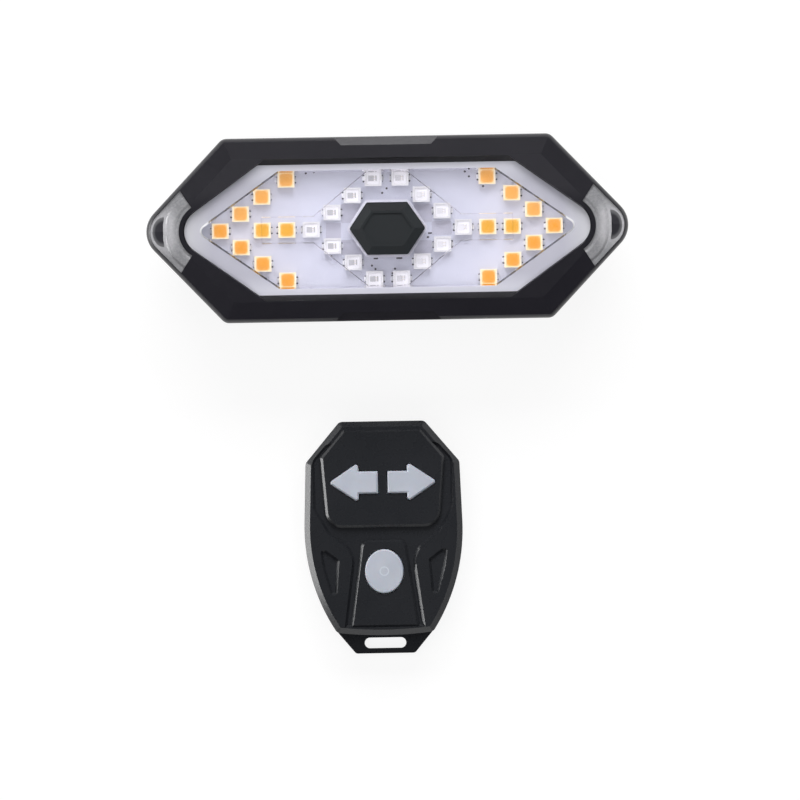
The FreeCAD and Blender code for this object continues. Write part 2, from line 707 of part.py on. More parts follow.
def charging_socket():
    width, depth, height = SOCKET_SIZE
    low = board_z - height
    shell = box(-width / 2, width / 2, socket_mouth_y, socket_mouth_y + depth, low, board_z)
    uprights = [e for e in shell.Edges if abs(e.CenterOfMass.y - socket_mouth_y - depth / 2) < 1e-6]
    shell = shell.makeFillet(height / 4, uprights)
    inner = box(-width / 2 + SOCKET_WALL, width / 2 - SOCKET_WALL, socket_mouth_y,
                socket_mouth_y + depth - SOCKET_WALL, low + SOCKET_WALL, board_z - SOCKET_WALL)
    tongue_low = low + height / 2 - SOCKET_WALL / 2
    tongue = box(-width / 4, width / 4, socket_mouth_y + SOCKET_WALL, socket_mouth_y + depth - SOCKET_WALL,
                 tongue_low, tongue_low + SOCKET_WALL)
    return shell.cut(inner).fuse(tongue)


def battery():
    cell = centred_box(BATTERY_SIZE, 0, 0, battery_z)
    uprights = [e for e in cell.Edges if abs(e.CenterOfMass.x) < 1e-6]
    return cell.makeFillet(BATTERY_SIZE[2] / 3, uprights)


def battery_tape():
    length, width, depth = BATTERY_SIZE
    return centred_box((length - 2 * depth, width - depth, TAPE_THICKNESS), 0, 0, floor_z)


def battery_leads():
    """Two insulated wires from the end of the cell up to the board."""
    start_x = BATTERY_SIZE[0] / 2
    mid_z = battery_z + BATTERY_SIZE[2] / 2
    leads = []
    for y in (-LEAD_PITCH / 2, LEAD_PITCH / 2):
        bend_x = start_x + LEAD_REACH
        start = vec(start_x, y, mid_z)
        bend_start = vec(bend_x - LEAD_BEND, y, mid_z)
        slack = LEAD_BEND * (1 - math.cos(math.pi / 4))
        bend_mid = vec(bend_x - slack, y, mid_z + slack)
        bend_end = vec(bend_x, y, mid_z + LEAD_BEND)
        end = vec(bend_x, y, board_z)
        path = Part.Wire([Part.LineSegment(start, bend_start).toShape(),
                          Part.Arc(bend_start, bend_mid, bend_end).toShape(),
                          Part.LineSegment(bend_end, end).toShape()])
        ring = Part.Wire([Part.makeCircle(LEAD_RADIUS, start, vec(1, 0, 0))])
        leads.append(path.makePipeShell([ring], True, False))
    return Part.makeCompound(leads)


# Rear half of the light's housing

def screw_seat(x, y):
    """The room for one housing screw, from the back face up."""
    gap = SCREW_CLEARANCE
    sink = back_z + SCREW_HEAD_SINK + SCREW_HEAD_HEIGHT
    head_room = rod(SCREW_HEAD_RADIUS + gap, x, y, back_z, sink)
    return head_room.fuse(rod(SCREW_RADIUS + gap, x, y, sink, parting_z))


def rear_shell():
    solid = body.block(back_z, parting_z)
    solid = solid.makeChamfer(BACK_BEVEL, edges_at(solid, back_z))
    solid = solid.cut(body.block(floor_z, parting_z, WALL))
    adds = [rod(SCREW_COLUMN_RADIUS, x, y, floor_z, parting_z) for x, y in at_four(screw_place)]
    adds += [rod(POST_RADIUS, x, y, floor_z, board_z) for x, y in at_four(post_place)]
    bosses = [rod(SADDLE_BOSS_RADIUS, 0, side * saddle_screw_y, floor_z, floor_z + SADDLE_BOSS_HEIGHT)
              for side in (-1, 1)]
    inside = body.block(floor_z, parting_z, WALL / 2)
    adds = [post.common(inside) if post.BoundBox.ZMax <= parting_z + 1e-6 else post for post in adds]
    solid = fused([solid] + adds + bosses)
    holes = [screw_seat(x, y) for x, y in at_four(screw_place)]
    reach = SADDLE_BOSS_HEIGHT + BACK_THICKNESS - SCREW_RADIUS
    holes += [rod(SCREW_RADIUS + SCREW_CLEARANCE, 0, side * saddle_screw_y, back_z, back_z + reach)
              for side in (-1, 1)]
    return solid.cut(holes)


def cross_recess(x, y, head_low, head_radius):
    """The cross that the driver turns, cut up into a screw's head from below."""
    arm = head_radius * SCREW_RECESS_SHARE
    top = head_low + SCREW_RECESS_DEPTH
    cross = box(x - arm, x + arm, y - arm / 4, y + arm / 4, head_low, top)
    return cross.fuse(box(x - arm / 4, x + arm / 4, y - arm, y + arm, head_low, top))


def pan_screw(x, y, head_low, tip_z, radius, head_radius, head_height):
    """A pan-head screw that stands on its head."""
    head = rod(head_radius, x, y, head_low, head_low + head_height)
    head = head.makeChamfer(SCREW_HEAD_BEVEL, edges_at(head, head_low))
    shank = rod(radius, x, y, head_low + head_height, tip_z)
    return fused([head, shank]).cut(cross_recess(x, y, head_low, head_radius))


def sunk_head(y, low, clearance=0.0):
    """The cone of a countersunk head on the middle line, wide side down."""
    radius, height = EAR_SCREW_HEAD
    return Part.makeCone(radius + clearance, SCREW_RADIUS + clearance, height, vec(0, y, low))


def housing_screws():
    tip_z = ledge_z - SCREW_RADIUS
    return Part.makeCompound([pan_screw(x, y, back_z + SCREW_HEAD_SINK, tip_z, SCREW_RADIUS,
                                        SCREW_HEAD_RADIUS, SCREW_HEAD_HEIGHT)
                              for x, y in at_four(screw_place)])


# Seat-post saddle on the back of the light
cradle_radius = POST_GRIP_RADIUS + PAD_THICKNESS
saddle_half_width = cradle_radius * math.sin(math.radians(GRIP_HALF_ANGLE)) + SADDLE_SIDE_WALL


def post_rod(radius, half_length):
    return Part.makeCylinder(radius, 2 * half_length, vec(0, -half_length, grip_axis_z), vec(0, 1, 0))


def saddle_bracket():
    ear_y = saddle_screw_y + EAR_MARGIN
    ear_low = back_z - EAR_THICKNESS
    solid = box(-saddle_half_width, saddle_half_width, -saddle_half_length, saddle_half_length, 0, back_z)
    ear = box(-EAR_HALF_WIDTH, EAR_HALF_WIDTH, -ear_y, ear_y, ear_low, back_z)
    rounds = [e for e in ear.Edges if is_upright(e)]
    ear = ear.makeFillet(EAR_HALF_WIDTH / 3, rounds)
    adds = [ear]
    for side in (-1, 1):
        wall = side * saddle_half_width
        tip = side * (saddle_half_width + HOOK_REACH + HOOK_LIP)
        inner = side * (saddle_half_width + HOOK_REACH)
        root = wall - side * SADDLE_SIDE_WALL / 2
        top = HOOK_LOW + HOOK_THICKNESS
        section = [(root, HOOK_LOW), (tip - side * HOOK_LIP / 2, HOOK_LOW), (tip, HOOK_LOW + HOOK_LIP / 2),
                   (tip, top + HOOK_LIP_HEIGHT), (inner, top + HOOK_LIP_HEIGHT), (inner, top), (root, top)]
        corners = [vec(x, -HOOK_HALF_WIDTH, z) for x, z in section]
        hook = Part.Face(Part.makePolygon(corners + corners[:1])).extrude(vec(0, 2 * HOOK_HALF_WIDTH, 0))
        adds.append(hook)
    solid = solid.fuse(adds)
    solid = solid.cut(post_rod(cradle_radius, 2 * saddle_half_length)).removeSplitter()
    holes = [rod(SCREW_RADIUS + SCREW_CLEARANCE, 0, side * saddle_screw_y, 0, back_z) for side in (-1, 1)]
    holes += [sunk_head(side * saddle_screw_y, ear_low, SCREW_CLEARANCE) for side in (-1, 1)]
    return solid.cut(holes)


def saddle_pad():
    """The rubber lining, with grooves across it for grip."""
    outer = post_rod(cradle_radius, saddle_half_length)
    solid = outer.cut(post_rod(POST_GRIP_RADIUS, saddle_half_length))
    solid = solid.common(box(-saddle_half_width, saddle_half_width, -saddle_half_length, saddle_half_length,
                             0, back_z))
    grooves = []
    for step in range(1, PAD_RIBS):
        y = saddle_half_length * (2 * step / PAD_RIBS - 1)
        ring = Part.makeCylinder(POST_GRIP_RADIUS + PAD_GROOVE_DEPTH, PAD_RIB_GROOVE,
                                 vec(0, y - PAD_RIB_GROOVE / 2, grip_axis_z), vec(0, 1, 0))
        grooves.append(ring)
    return solid.cut(grooves)


def saddle_screws():
    """Countersunk, so that nothing stands out of the ears into the seat post."""
    ear_low = back_z - EAR_THICKNESS
    screws = []
    for y in (-saddle_screw_y, saddle_screw_y):
        shank = rod(SCREW_RADIUS, 0, y, ear_low + EAR_SCREW_HEAD[1], back_z + SADDLE_BOSS_HEIGHT)
        screw = fused([sunk_head(y, ear_low), shank])
        screws.append(screw.cut(cross_recess(0, y, ear_low, EAR_SCREW_HEAD[0])))
    return Part.makeCompound(screws)


def port_cover():
    low, high = cover_low_z, cover_low_z + COVER_HEIGHT
    outside = -body_half_height
    plate = box(knuckle_x, COVER_HALF_WIDTH, outside, outside + COVER_THICKNESS, low, high)
    rounds = [e for e in plate.Edges if abs(e.CenterOfMass.x - COVER_HALF_WIDTH) < 1e-6
              and abs(e.Vertexes[0].Point.y - e.Vertexes[-1].Point.y) > 1e-6]
    plate = plate.makeFillet(COVER_THICKNESS, rounds)
    knuckle = rod(COVER_KNUCKLE_RADIUS, knuckle_x, knuckle_y, low, high)
    plug_low = cover_mid_z - PLUG_HEIGHT / 2
    plug = box(-PLUG_HALF_WIDTH, PLUG_HALF_WIDTH, outside + COVER_THICKNESS,
               outside + COVER_THICKNESS + PLUG_DEPTH, plug_low, plug_low + PLUG_HEIGHT)
    nail = box(COVER_HALF_WIDTH - COVER_TAB_ROOT, COVER_HALF_WIDTH + COVER_TAB / 2,
               outside, outside + COVER_THICKNESS / 2,
               cover_mid_z - COVER_TAB / 3, cover_mid_z + COVER_TAB / 3)
    return fused([plate, knuckle, plug, nail])


# Remote control

def shifted_line(start, end, inset=0.0):
    """A point and a direction on the line through two points, moved towards the middle."""
    along = (vec(*end) - vec(*start)).normalize()
    inward = vec(along.y, -along.x)
    return vec(*start) + inward * inset, along


def crossing(first, second):
    """Where two lines meet."""
    point, along = first
    other, beside = second
    reach = (other - point).cross(beside).z / along.cross(beside).z
    meeting = point + along * reach
    return meeting.x, meeting.y


def flank_middle():
    """The middle of the arc that leaves the side without a corner and ends at the foot."""
    start = vec(*REMOTE_SIDE_END)
    along = (start - vec(*REMOTE_SHOULDER)).normalize()
    inward = vec(along.y, -along.x)
    chord = vec(*REMOTE_FOOT) - start
    radius = chord.dot(chord) / (2 * chord.dot(inward))
    centre = start + inward * radius
    outward = (start + chord * 0.5 - centre).normalize()
    return centre + outward * radius


def remote_face(z):
    """The shield outline of the remote's shells, at the height z."""
    middle = flank_middle()
    foot_x, foot_y = REMOTE_FOOT
    right = [(REMOTE_TOP_HALF_WIDTH, REMOTE_TOP), REMOTE_SHOULDER, REMOTE_SIDE_END]
    left = [(-x, y) for x, y in reversed(right)]
    edges = [Part.makeLine(vec(*start, z), vec(*end, z)) for start, end in zip(right, right[1:])]
    rounds = [(right[-1], (middle.x, middle.y), REMOTE_FOOT),
              (REMOTE_FOOT, (0, REMOTE_LIP_Y), (-foot_x, foot_y)),
              ((-foot_x, foot_y), (-middle.x, middle.y), left[0])]
    edges += [Part.Arc(vec(*start, z), vec(*way, z), vec(*end, z)).toShape() for start, way, end in rounds]
    edges += [Part.makeLine(vec(*start, z), vec(*end, z)) for start, end in zip(left, left[1:])]
    edges.append(Part.makeLine(vec(*left[-1], z), vec(*right[0], z)))
    return Part.Face(Part.Wire(edges))


def remote_block(low, high, inset=0.0):
    face = remote_face(low)
    if inset:
        face = Part.Face(face.OuterWire.makeOffset2D(-inset, 2))
    solid = face.extrude(vec(0, 0, high - low))
    radius = max(REMOTE_CORNER_RADIUS - inset, SMALLEST_RADIUS)
    side_y = REMOTE_SIDE_END[1]
    corners = [e for e in solid.Edges if is_upright(e) and abs(e.CenterOfMass.y - side_y) > inset + 1]
    return solid.makeFillet(radius, corners)


def both_sides(right):
    """A closed outline from its right half, which is listed from top to bottom."""
    return right + [(-x, y) for x, y in reversed(right)]


def pad_block(low, high):
    """The raised field that holds the arrow keys."""
    inset = REMOTE_RIM_BEVEL + EDGE_BEVEL
    top_corner = (REMOTE_TOP_HALF_WIDTH, REMOTE_TOP)
    top = shifted_line((0, REMOTE_TOP), top_corner, inset)
    slant = shifted_line(top_corner, REMOTE_SHOULDER, inset)
    side = shifted_line(*PAD_SIDE)
    solid = prism(both_sides([crossing(top, slant), crossing(slant, side), PAD_SIDE[1]]), low, high)
    lower = [e for e in solid.Edges if is_upright(e) and abs(e.CenterOfMass.y - PAD_SIDE[1][1]) < 1e-6]
    return solid.makeFillet(PAD_CORNER_RADIUS, lower)


def panel_block(low, high):
    """The tapered panel around the round key."""
    solid = prism(both_sides(list(PANEL_SIDE)), low, high)
    upper = [e for e in solid.Edges if is_upright(e) and abs(e.CenterOfMass.y - PANEL_SIDE[0][1]) < 1e-6]
    return solid.makeFillet(PANEL_CORNER_RADIUS, upper)


def channel_block(low, high):
    """The sunken way around the pad and down both sides of the panel."""
    solid = prism(both_sides(list(CHANNEL_SIDE)), low, high)
    foot_y = CHANNEL_SIDE[-1][1]
    bends = [e for e in solid.Edges if is_upright(e) and e.CenterOfMass.y > foot_y + 1]
    return solid.makeFillet(CHANNEL_CORNER_RADIUS, bends)


def side_pocket(low, high):
    return rounded_prism(POCKET_OUTLINE, low, high, POCKET_CORNER_RADIUS)


def arrow_block(low, high, grow=0.0):
    """The right-hand arrow key's outline, larger by grow on every side."""
    points = [(ARROW_TAIL, ARROW_HALF_SHAFT), (ARROW_NECK, ARROW_HALF_SHAFT), (ARROW_NECK, ARROW_HALF_HEAD),
              (ARROW_TIP, 0), (ARROW_NECK, -ARROW_HALF_HEAD), (ARROW_NECK, -ARROW_HALF_SHAFT),
              (ARROW_TAIL, -ARROW_HALF_SHAFT)]
    corners = [vec(x, ARROW_Y + y, low) for x, y in points]
    wire = Part.makePolygon(corners + corners[:1])
    solid = Part.Face(wire).extrude(vec(0, 0, high - low))
    sharp = [e for e in solid.Edges if is_upright(e) and e.CenterOfMass.x > ARROW_NECK - 0.1
             and abs(abs(e.CenterOfMass.y - ARROW_Y) - ARROW_HALF_SHAFT) > 0.1]
    solid = solid.makeFillet(ARROW_CORNER_RADIUS, sharp)
    if grow:
        base = [f for f in solid.Faces if abs(f.CenterOfMass.z - low) < 1e-6][0]
        solid = Part.Face(base.OuterWire.makeOffset2D(grow, 2)).extrude(vec(0, 0, high - low))
    return solid


def oval_block(low, high, grow=0.0):
    long_half = ROUND_KEY_SIZE[1] + grow
    short_half = ROUND_KEY_SIZE[0] + grow
    oval = Part.Ellipse(vec(0, ROUND_KEY_Y + long_half, low), vec(short_half, ROUND_KEY_Y, low),
                        vec(0, ROUND_KEY_Y, low))
    return Part.Face(Part.Wire(oval.toShape())).extrude(vec(0, 0, high - low))


def remote_columns(radius, low, high):
    return [rod(radius, side * x, y, low, high) for x, y in REMOTE_SCREW_PLACES for side in (-1, 1)]


def remote_seal():
    first = (REMOTE_WALL - REMOTE_SEAL_WIDTH) / 2
    high = REMOTE_PARTING + REMOTE_SEAL_WIDTH
    return remote_block(REMOTE_PARTING, high, first).cut(
        remote_block(REMOTE_PARTING, high, first + REMOTE_SEAL_WIDTH))


def remote_upper_shell():
    solid = remote_block(REMOTE_PARTING, ring_top_z)
    solid = solid.makeChamfer(REMOTE_RIM_BEVEL, edges_at(solid, ring_top_z))
    sink = channel_block(channel_z, ring_top_z + 1)
    sink = sink.makeChamfer(EDGE_BEVEL, edges_at(sink, channel_z))
    solid = solid.cut(sink)
    pad = pad_block(channel_z, remote_pad_z)
    pad = pad.makeChamfer(EDGE_BEVEL, edges_at(pad, remote_pad_z))
    panel = panel_block(channel_z, ring_top_z)
    panel = panel.makeChamfer(EDGE_BEVEL, edges_at(panel, ring_top_z))
    solid = fused([solid, pad, panel])
    pocket = side_pocket(ring_top_z - POCKET_DEPTH, ring_top_z + 1)
    pocket = pocket.makeChamfer(EDGE_BEVEL, edges_at(pocket, ring_top_z - POCKET_DEPTH))
    arrow_hole = arrow_block(ceiling_z - 1, remote_pad_z + 1, KEY_CLEARANCE)
    cuts = [pocket, mirrored(pocket), arrow_hole, mirrored(arrow_hole)]
    cuts.append(oval_block(ceiling_z - 1, remote_pad_z + 1, KEY_CLEARANCE))
    cuts.append(remote_block(REMOTE_PARTING, ceiling_z, REMOTE_WALL))
    solid = solid.cut(cuts)
    solid = fused([solid] + remote_columns(REMOTE_COLUMN_RADIUS, remote_board_top, ceiling_z))
    tip_z = ceiling_z + REMOTE_WALL / 2
    holes = remote_columns(REMOTE_SCREW_RADIUS + SCREW_CLEARANCE, remote_board_top, tip_z)
    return solid.cut(holes + [remote_seal()])


def tab_block(low, high):
    root_y = REMOTE_FOOT[1] + REMOTE_WALL
    foot_x = REMOTE_FOOT[0] - TAB_SHOULDER
    points = [(foot_x, root_y), (foot_x, REMOTE_FOOT[1]), (TAB_HALF_WIDTH, TAB_Y)]
    solid = prism(both_sides(points), low, high)
    rounds = [e for e in solid.Edges if is_upright(e) and abs(e.CenterOfMass.y - TAB_Y) < 1e-6]
    return solid.makeFillet(TAB_CORNER_RADIUS, rounds)


def strap_slot(low, high):
    radius = SLOT_WIDTH / 2
    reach = SLOT_LENGTH / 2 - radius
    slot = box(-reach, reach, slot_y - radius, slot_y + radius, low, high)
    return slot.fuse([rod(radius, -reach, slot_y, low, high), rod(radius, reach, slot_y, low, high)])


def lug_ring(inner, outer, low, high, half_angle):
    """Three short arcs, evenly spaced about the cell's axis."""
    pieces = []
    for turn in (90, 210, 330):
        ring = rod(outer, 0, CELL_Y, low, high).cut(rod(inner, 0, CELL_Y, low, high))
        spread = math.radians(half_angle)
        reach = 2 * outer
        wedge = prism([(0, 0), (reach, -reach * math.tan(spread)), (reach, reach * math.tan(spread))],
                      low, high)
        wedge.rotate(vec(0, 0), UP, turn)
        wedge.translate(vec(0, CELL_Y, 0))
        pieces.append(ring.common(wedge))
    return pieces


def remote_lower_shell():
    solid = remote_block(0, REMOTE_PARTING)
    solid = solid.makeChamfer(REMOTE_BACK_BEVEL, edges_at(solid, 0))
    solid = solid.cut(remote_block(door_lip_top, REMOTE_PARTING, REMOTE_WALL))
    tab = tab_block(TAB_LOW, TAB_LOW + TAB_THICKNESS)
    columns = remote_columns(REMOTE_COLUMN_RADIUS, door_lip_top, remote_board_low)
    solid = fused([solid, tab] + columns)
    gap = DOOR_CLEARANCE
    cuts = [rod(door_rim_radius + gap, 0, CELL_Y, 0, door_step_z)]
    cuts.append(rod(door_neck_radius + gap, 0, CELL_Y, 0, door_lip_top))
    notch_angle = DOOR_LUG_HALF_ANGLE + DOOR_NOTCH_SPREAD
    notch_radius = door_neck_radius + DOOR_LUG_REACH + gap
    notches = lug_ring(door_neck_radius, notch_radius, 0, door_lip_top, notch_angle)
    for notch in notches:
        notch.rotate(vec(0, CELL_Y), UP, 60)
    cuts += notches
    cuts.append(strap_slot(0, REMOTE_PARTING))
    head_radius, head_height = REMOTE_SCREW_HEAD
    sink = 2 * head_height
    cuts += remote_columns(head_radius + SCREW_CLEARANCE, 0, sink)
    cuts += remote_columns(REMOTE_SCREW_RADIUS + SCREW_CLEARANCE, sink, remote_board_low)
    return solid.cut(cuts)


def remote_screws():
    head_radius, head_height = REMOTE_SCREW_HEAD
    tip_z = ceiling_z + REMOTE_WALL / 2 - REMOTE_SCREW_GAP
    screws = []
    for x, y in REMOTE_SCREW_PLACES:
        for side in (-1, 1):
            screws.append(pan_screw(side * x, y, head_height, tip_z, REMOTE_SCREW_RADIUS,
                                    head_radius, head_height))
    return Part.makeCompound(screws)


def battery_door():
    rim = rod(door_rim_radius, 0, CELL_Y, DOOR_INSET, DOOR_INSET + DOOR_RIM_THICKNESS)
    neck = rod(door_neck_radius, 0, CELL_Y, DOOR_INSET, door_top)
    lugs = lug_ring(door_neck_radius - DOOR_LUG_ROOT, door_neck_radius + DOOR_LUG_REACH, lug_low, door_top,
                    DOOR_LUG_HALF_ANGLE)
    solid = fused([rim, neck] + lugs)
    length, width, depth = DOOR_SLOT
    return solid.cut(centred_box((length, width, depth), 0, CELL_Y, DOOR_INSET))


def door_seal():
    low = DOOR_INSET + DOOR_RIM_THICKNESS
    return rod(door_rim_radius, 0, CELL_Y, low, low + DOOR_SEAL_THICKNESS).cut(
        rod(door_neck_radius, 0, CELL_Y, low, low + DOOR_SEAL_THICKNESS))


def coin_cell():
    can = rod(CELL_RADIUS, 0, CELL_Y, cell_z, cell_z + CELL_THICKNESS)
    return can.makeChamfer(EDGE_BEVEL, edges_at(can, cell_z) + edges_at(can, cell_z + CELL_THICKNESS))


def cell_holder():
    inner = CELL_RADIUS + CELL_CLEARANCE
    low = cell_z + CELL_CLEARANCE
    ring = rod(inner + HOLDER_WALL, 0, CELL_Y, low, remote_board_low)
    return ring.cut(rod(inner, 0, CELL_Y, low, remote_board_low))


def cell_contact():
    """The sprung strip between the cell and the board."""
    cell_top = cell_z + CELL_THICKNESS
    rise = remote_board_low - cell_top
    half = CELL_RADIUS / 2
    upper = rise - CONTACT_THICKNESS
    section = [(-half, upper), (-half / 2, upper), (-half / 4, 0), (half / 4, 0), (half / 2, upper),
               (half, upper)]
    outline = section + [(x, z + CONTACT_THICKNESS) for x, z in reversed(section)]
    corners = [vec(x, CELL_Y - CONTACT_WIDTH / 2, cell_top + z) for x, z in outline]
    return Part.Face(Part.makePolygon(corners + corners[:1])).extrude(vec(0, CONTACT_WIDTH, 0))


def remote_board():
    solid = remote_block(remote_board_low, remote_board_top, REMOTE_WALL + REMOTE_BOARD_CLEARANCE)
    return solid.cut(remote_columns(REMOTE_SCREW_RADIUS + 2 * SCREW_CLEARANCE, remote_board_low,
                                    remote_board_top))


def key_domes():
    ball = (DOME_RADIUS ** 2 + DOME_HEIGHT ** 2) / (2 * DOME_HEIGHT)
    arrow_x = (ARROW_TIP + ARROW_TAIL) / 2
    domes = []
    for x, y in ((-arrow_x, ARROW_Y), (arrow_x, ARROW_Y), (0, ROUND_KEY_Y)):
        sphere = Part.makeSphere(ball, vec(x, y, remote_board_top + DOME_HEIGHT - ball))
        domes.append(sphere.common(rod(2 * DOME_RADIUS, x, y, remote_board_top,
                                       remote_board_top + 2 * DOME_HEIGHT)))
    return Part.makeCompound(domes)


def remote_chip():
    return centred_box(REMOTE_CHIP_SIZE, 0, REMOTE_CHIP_Y, remote_board_top)


def arrow_key():
    top = remote_pad_z + ARROW_PROUD
    cap = arrow_block(flange_top_z, top)
    cap = cap.makeChamfer(KEY_EDGE, edges_at(cap, top))
    tail = arrow_block(flange_low_z, flange_top_z, KEY_FLANGE)
    return fused([cap, tail])


def round_key():
    top = ring_top_z + ROUND_KEY_PROUD
    cap = oval_block(flange_top_z, top)
    cap = cap.makeFillet(KEY_EDGE, edges_at(cap, top))
    return fused([cap, oval_block(flange_low_z, flange_top_z, KEY_FLANGE)])


# The pieces of the light
keep("front_bezel", front_bezel(), light_place)
keep("front_lens", front_lens(), light_place)
window = end_window()
keep("end_window_right", window, light_place)
keep("end_window_left", mirrored(window), light_place)
keep("main_button", main_button(), light_place)
keep("switch_plunger", switch_plunger(), light_place)
keep("main_switch", main_switch(), light_place)
keep("led_board", led_board(), light_place)
keep("amber_led_cases_left", led_cases(amber_places(-1)), light_place)
keep("amber_led_cases_right", led_cases(amber_places(1)), light_place)
keep("amber_phosphors_left", led_fills(amber_places(-1)), light_place)
keep("amber_phosphors_right", led_fills(amber_places(1)), light_place)
keep("red_led_cases", led_cases(red_places()), light_place)
keep("red_led_chips", red_chips(), light_place)
keep("board_resistors", resistors(), light_place)
keep("driver_chip", driver_chip(), light_place)
keep("radio_receiver", receiver(), light_place)
keep("charging_socket", charging_socket(), light_place)
keep("battery", battery(), light_place)
keep("battery_tape", battery_tape(), light_place)
keep("battery_leads", battery_leads(), light_place)
keep("housing_seal", seal_ring(), light_place)
keep("rear_shell", rear_shell(), light_place)
keep("housing_screws", housing_screws(), light_place)
keep("port_cover", port_cover(), light_place)
keep("saddle_bracket", saddle_bracket(), light_place)
keep("saddle_pad", saddle_pad(), light_place)
keep("saddle_screws", saddle_screws(), light_place)

# The pieces of the remote
keep("remote_upper_shell", remote_upper_shell(), remote_place)
keep("remote_lower_shell", remote_lower_shell(), remote_place)
keep("remote_seal", remote_seal(), remote_place)
right_key = arrow_key()
keep("right_arrow_key", right_key, remote_place)
keep("left_arrow_key", mirrored(right_key), remote_place)
keep("round_key", round_key(), remote_place)
keep("key_domes", key_domes(), remote_place)
keep("remote_board", remote_board(), remote_place)
keep("remote_chip", remote_chip(), remote_place)
keep("coin_cell", coin_cell(), remote_place)
keep("cell_holder", cell_holder(), remote_place)
keep("cell_contact", cell_contact(), remote_place)
keep("battery_door", battery_door(), remote_place)
keep("door_seal", door_seal(), remote_place)
keep("remote_screws", remote_screws(), remote_place)

os.makedirs("parts", exist_ok=True)
for name, shape in parts.items():
    shape.exportStep("parts/" + name + ".step")
    print(name, len(shape.Solids), shape.isValid(), round(shape.Volume, 2))
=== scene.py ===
import bpy
import math
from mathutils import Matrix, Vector


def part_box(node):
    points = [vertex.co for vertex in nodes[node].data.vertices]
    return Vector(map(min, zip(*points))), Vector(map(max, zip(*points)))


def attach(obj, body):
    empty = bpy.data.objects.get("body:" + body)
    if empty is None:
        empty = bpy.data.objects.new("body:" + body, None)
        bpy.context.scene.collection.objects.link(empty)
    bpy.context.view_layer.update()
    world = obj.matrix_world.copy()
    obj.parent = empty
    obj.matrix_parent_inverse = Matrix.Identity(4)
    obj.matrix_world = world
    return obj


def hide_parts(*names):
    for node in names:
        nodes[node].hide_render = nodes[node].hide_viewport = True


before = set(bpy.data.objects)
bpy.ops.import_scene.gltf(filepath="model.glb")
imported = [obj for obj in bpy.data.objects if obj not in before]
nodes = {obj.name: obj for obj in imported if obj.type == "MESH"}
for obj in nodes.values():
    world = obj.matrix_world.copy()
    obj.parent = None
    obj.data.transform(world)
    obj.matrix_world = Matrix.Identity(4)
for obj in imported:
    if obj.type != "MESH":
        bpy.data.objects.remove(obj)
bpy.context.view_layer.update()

# The photograph's viewpoint: a very long lens high above the table, looking straight down on the
# pair, so it shows no perspective. The picture is 160 mm wide, and the pair is turned one degree
# anticlockwise in it.
film = bpy.data.cameras.new("viewpoint")
film.type = "ORTHO"
film.ortho_scale = 0.160
viewpoint = bpy.data.objects.new("viewpoint", film)
viewpoint.location = (0.00194, -0.00113, 0.8)
viewpoint.rotation_euler = (0, 0, math.radians(-1.0))
bpy.context.scene.collection.objects.link(viewpoint)
bpy.context.scene.camera = viewpoint
bpy.context.scene.view_settings.view_transform = "Standard"


# Studio lamps: a wide soft one beyond the head of the pair, whose shine is kept off the clear lens
# as a polarising film does, two low banks that only show in the shine of the bevels that face left
# and towards the strap end, and a large veiled one overhead that fills the shadows.
def soft_lamp(name, place, aim, width, height, watts):
    lamp = bpy.data.lights.new(name, "AREA")
    lamp.shape = "RECTANGLE"
    lamp.size = width
    lamp.size_y = height
    lamp.energy = watts
    stand = bpy.data.objects.new(name, lamp)
    stand.location = place
    stand.rotation_euler = (Vector(aim) - Vector(place)).to_track_quat("-Z", "Y").to_euler()
    bpy.context.scene.collection.objects.link(stand)
    return stand


head_watts = 7.4
head_lamp = soft_lamp("head_lamp", (0.0, 0.70, 0.60), (0, 0, 0.01), 0.90, 0.50, head_watts)
head_lamp.visible_glossy = False
head_shine = soft_lamp("head_shine", (0.0, 0.69, 0.592), (0, 0, 0.01), 0.90, 0.50, head_watts)
head_shine.visible_diffuse = False
without_glare = bpy.data.collections.new("without_glare")
without_glare.objects.link(nodes["front_lens"])
without_glare.collection_objects[0].light_linking.link_state = "EXCLUDE"
head_shine.light_linking.receiver_collection = without_glare
bank_height = 0.175
left_lamp = soft_lamp("left_lamp", (-0.62, 0.02, bank_height), (0, 0, bank_height), 0.60, 0.34, 7.5)
left_lamp.visible_diffuse = False
foot_lamp = soft_lamp("foot_lamp", (0.0, -0.66, bank_height), (0, 0, bank_height), 0.60, 0.34, 0.5)
foot_lamp.visible_diffuse = False
veiled_lamp = soft_lamp("veiled_lamp", (-0.1, -0.25, 1.2), (0, 0, 0), 1.5, 1.5, 9.2)
veiled_lamp.visible_glossy = False


# The room: pale walls whose light is strongest low down, all round the table and most of all
# beyond the head of the pair, and a dim ceiling. The viewpoint sees a white backdrop instead.
def worked_out(tree, operation, *terms):
    """A Math node on numbers and sockets."""
    added = tree.nodes.new("ShaderNodeMath")
    added.operation = operation
    for place, term in enumerate(terms):
        if isinstance(term, (int, float)):
            added.inputs[place].default_value = term
        else:
            tree.links.new(term, added.inputs[place])
    return added.outputs[0]


def spread(tree, factor, low, high, start=0.3, end=0.7):
    """A factor stretched to run from low to high while it goes from start to end."""
    ramp = tree.nodes.new("ShaderNodeMapRange")
    ramp.inputs["From Min"].default_value = start
    ramp.inputs["From Max"].default_value = end
    ramp.inputs["To Min"].default_value = low
    ramp.inputs["To Max"].default_value = high
    tree.links.new(factor, ramp.inputs["Value"])
    return ramp.outputs["Result"]


def split(tree, vector):
    """The X, Y and Z sockets of a vector."""
    separate = tree.nodes.new("ShaderNodeSeparateXYZ")
    tree.links.new(vector, separate.inputs[0])
    return separate.outputs


def add_shader(tree, kind, **sockets):
    added = tree.nodes.new(kind)
    for socket, value in sockets.items():
        added.inputs[socket.replace("_", " ")].default_value = value
    return added


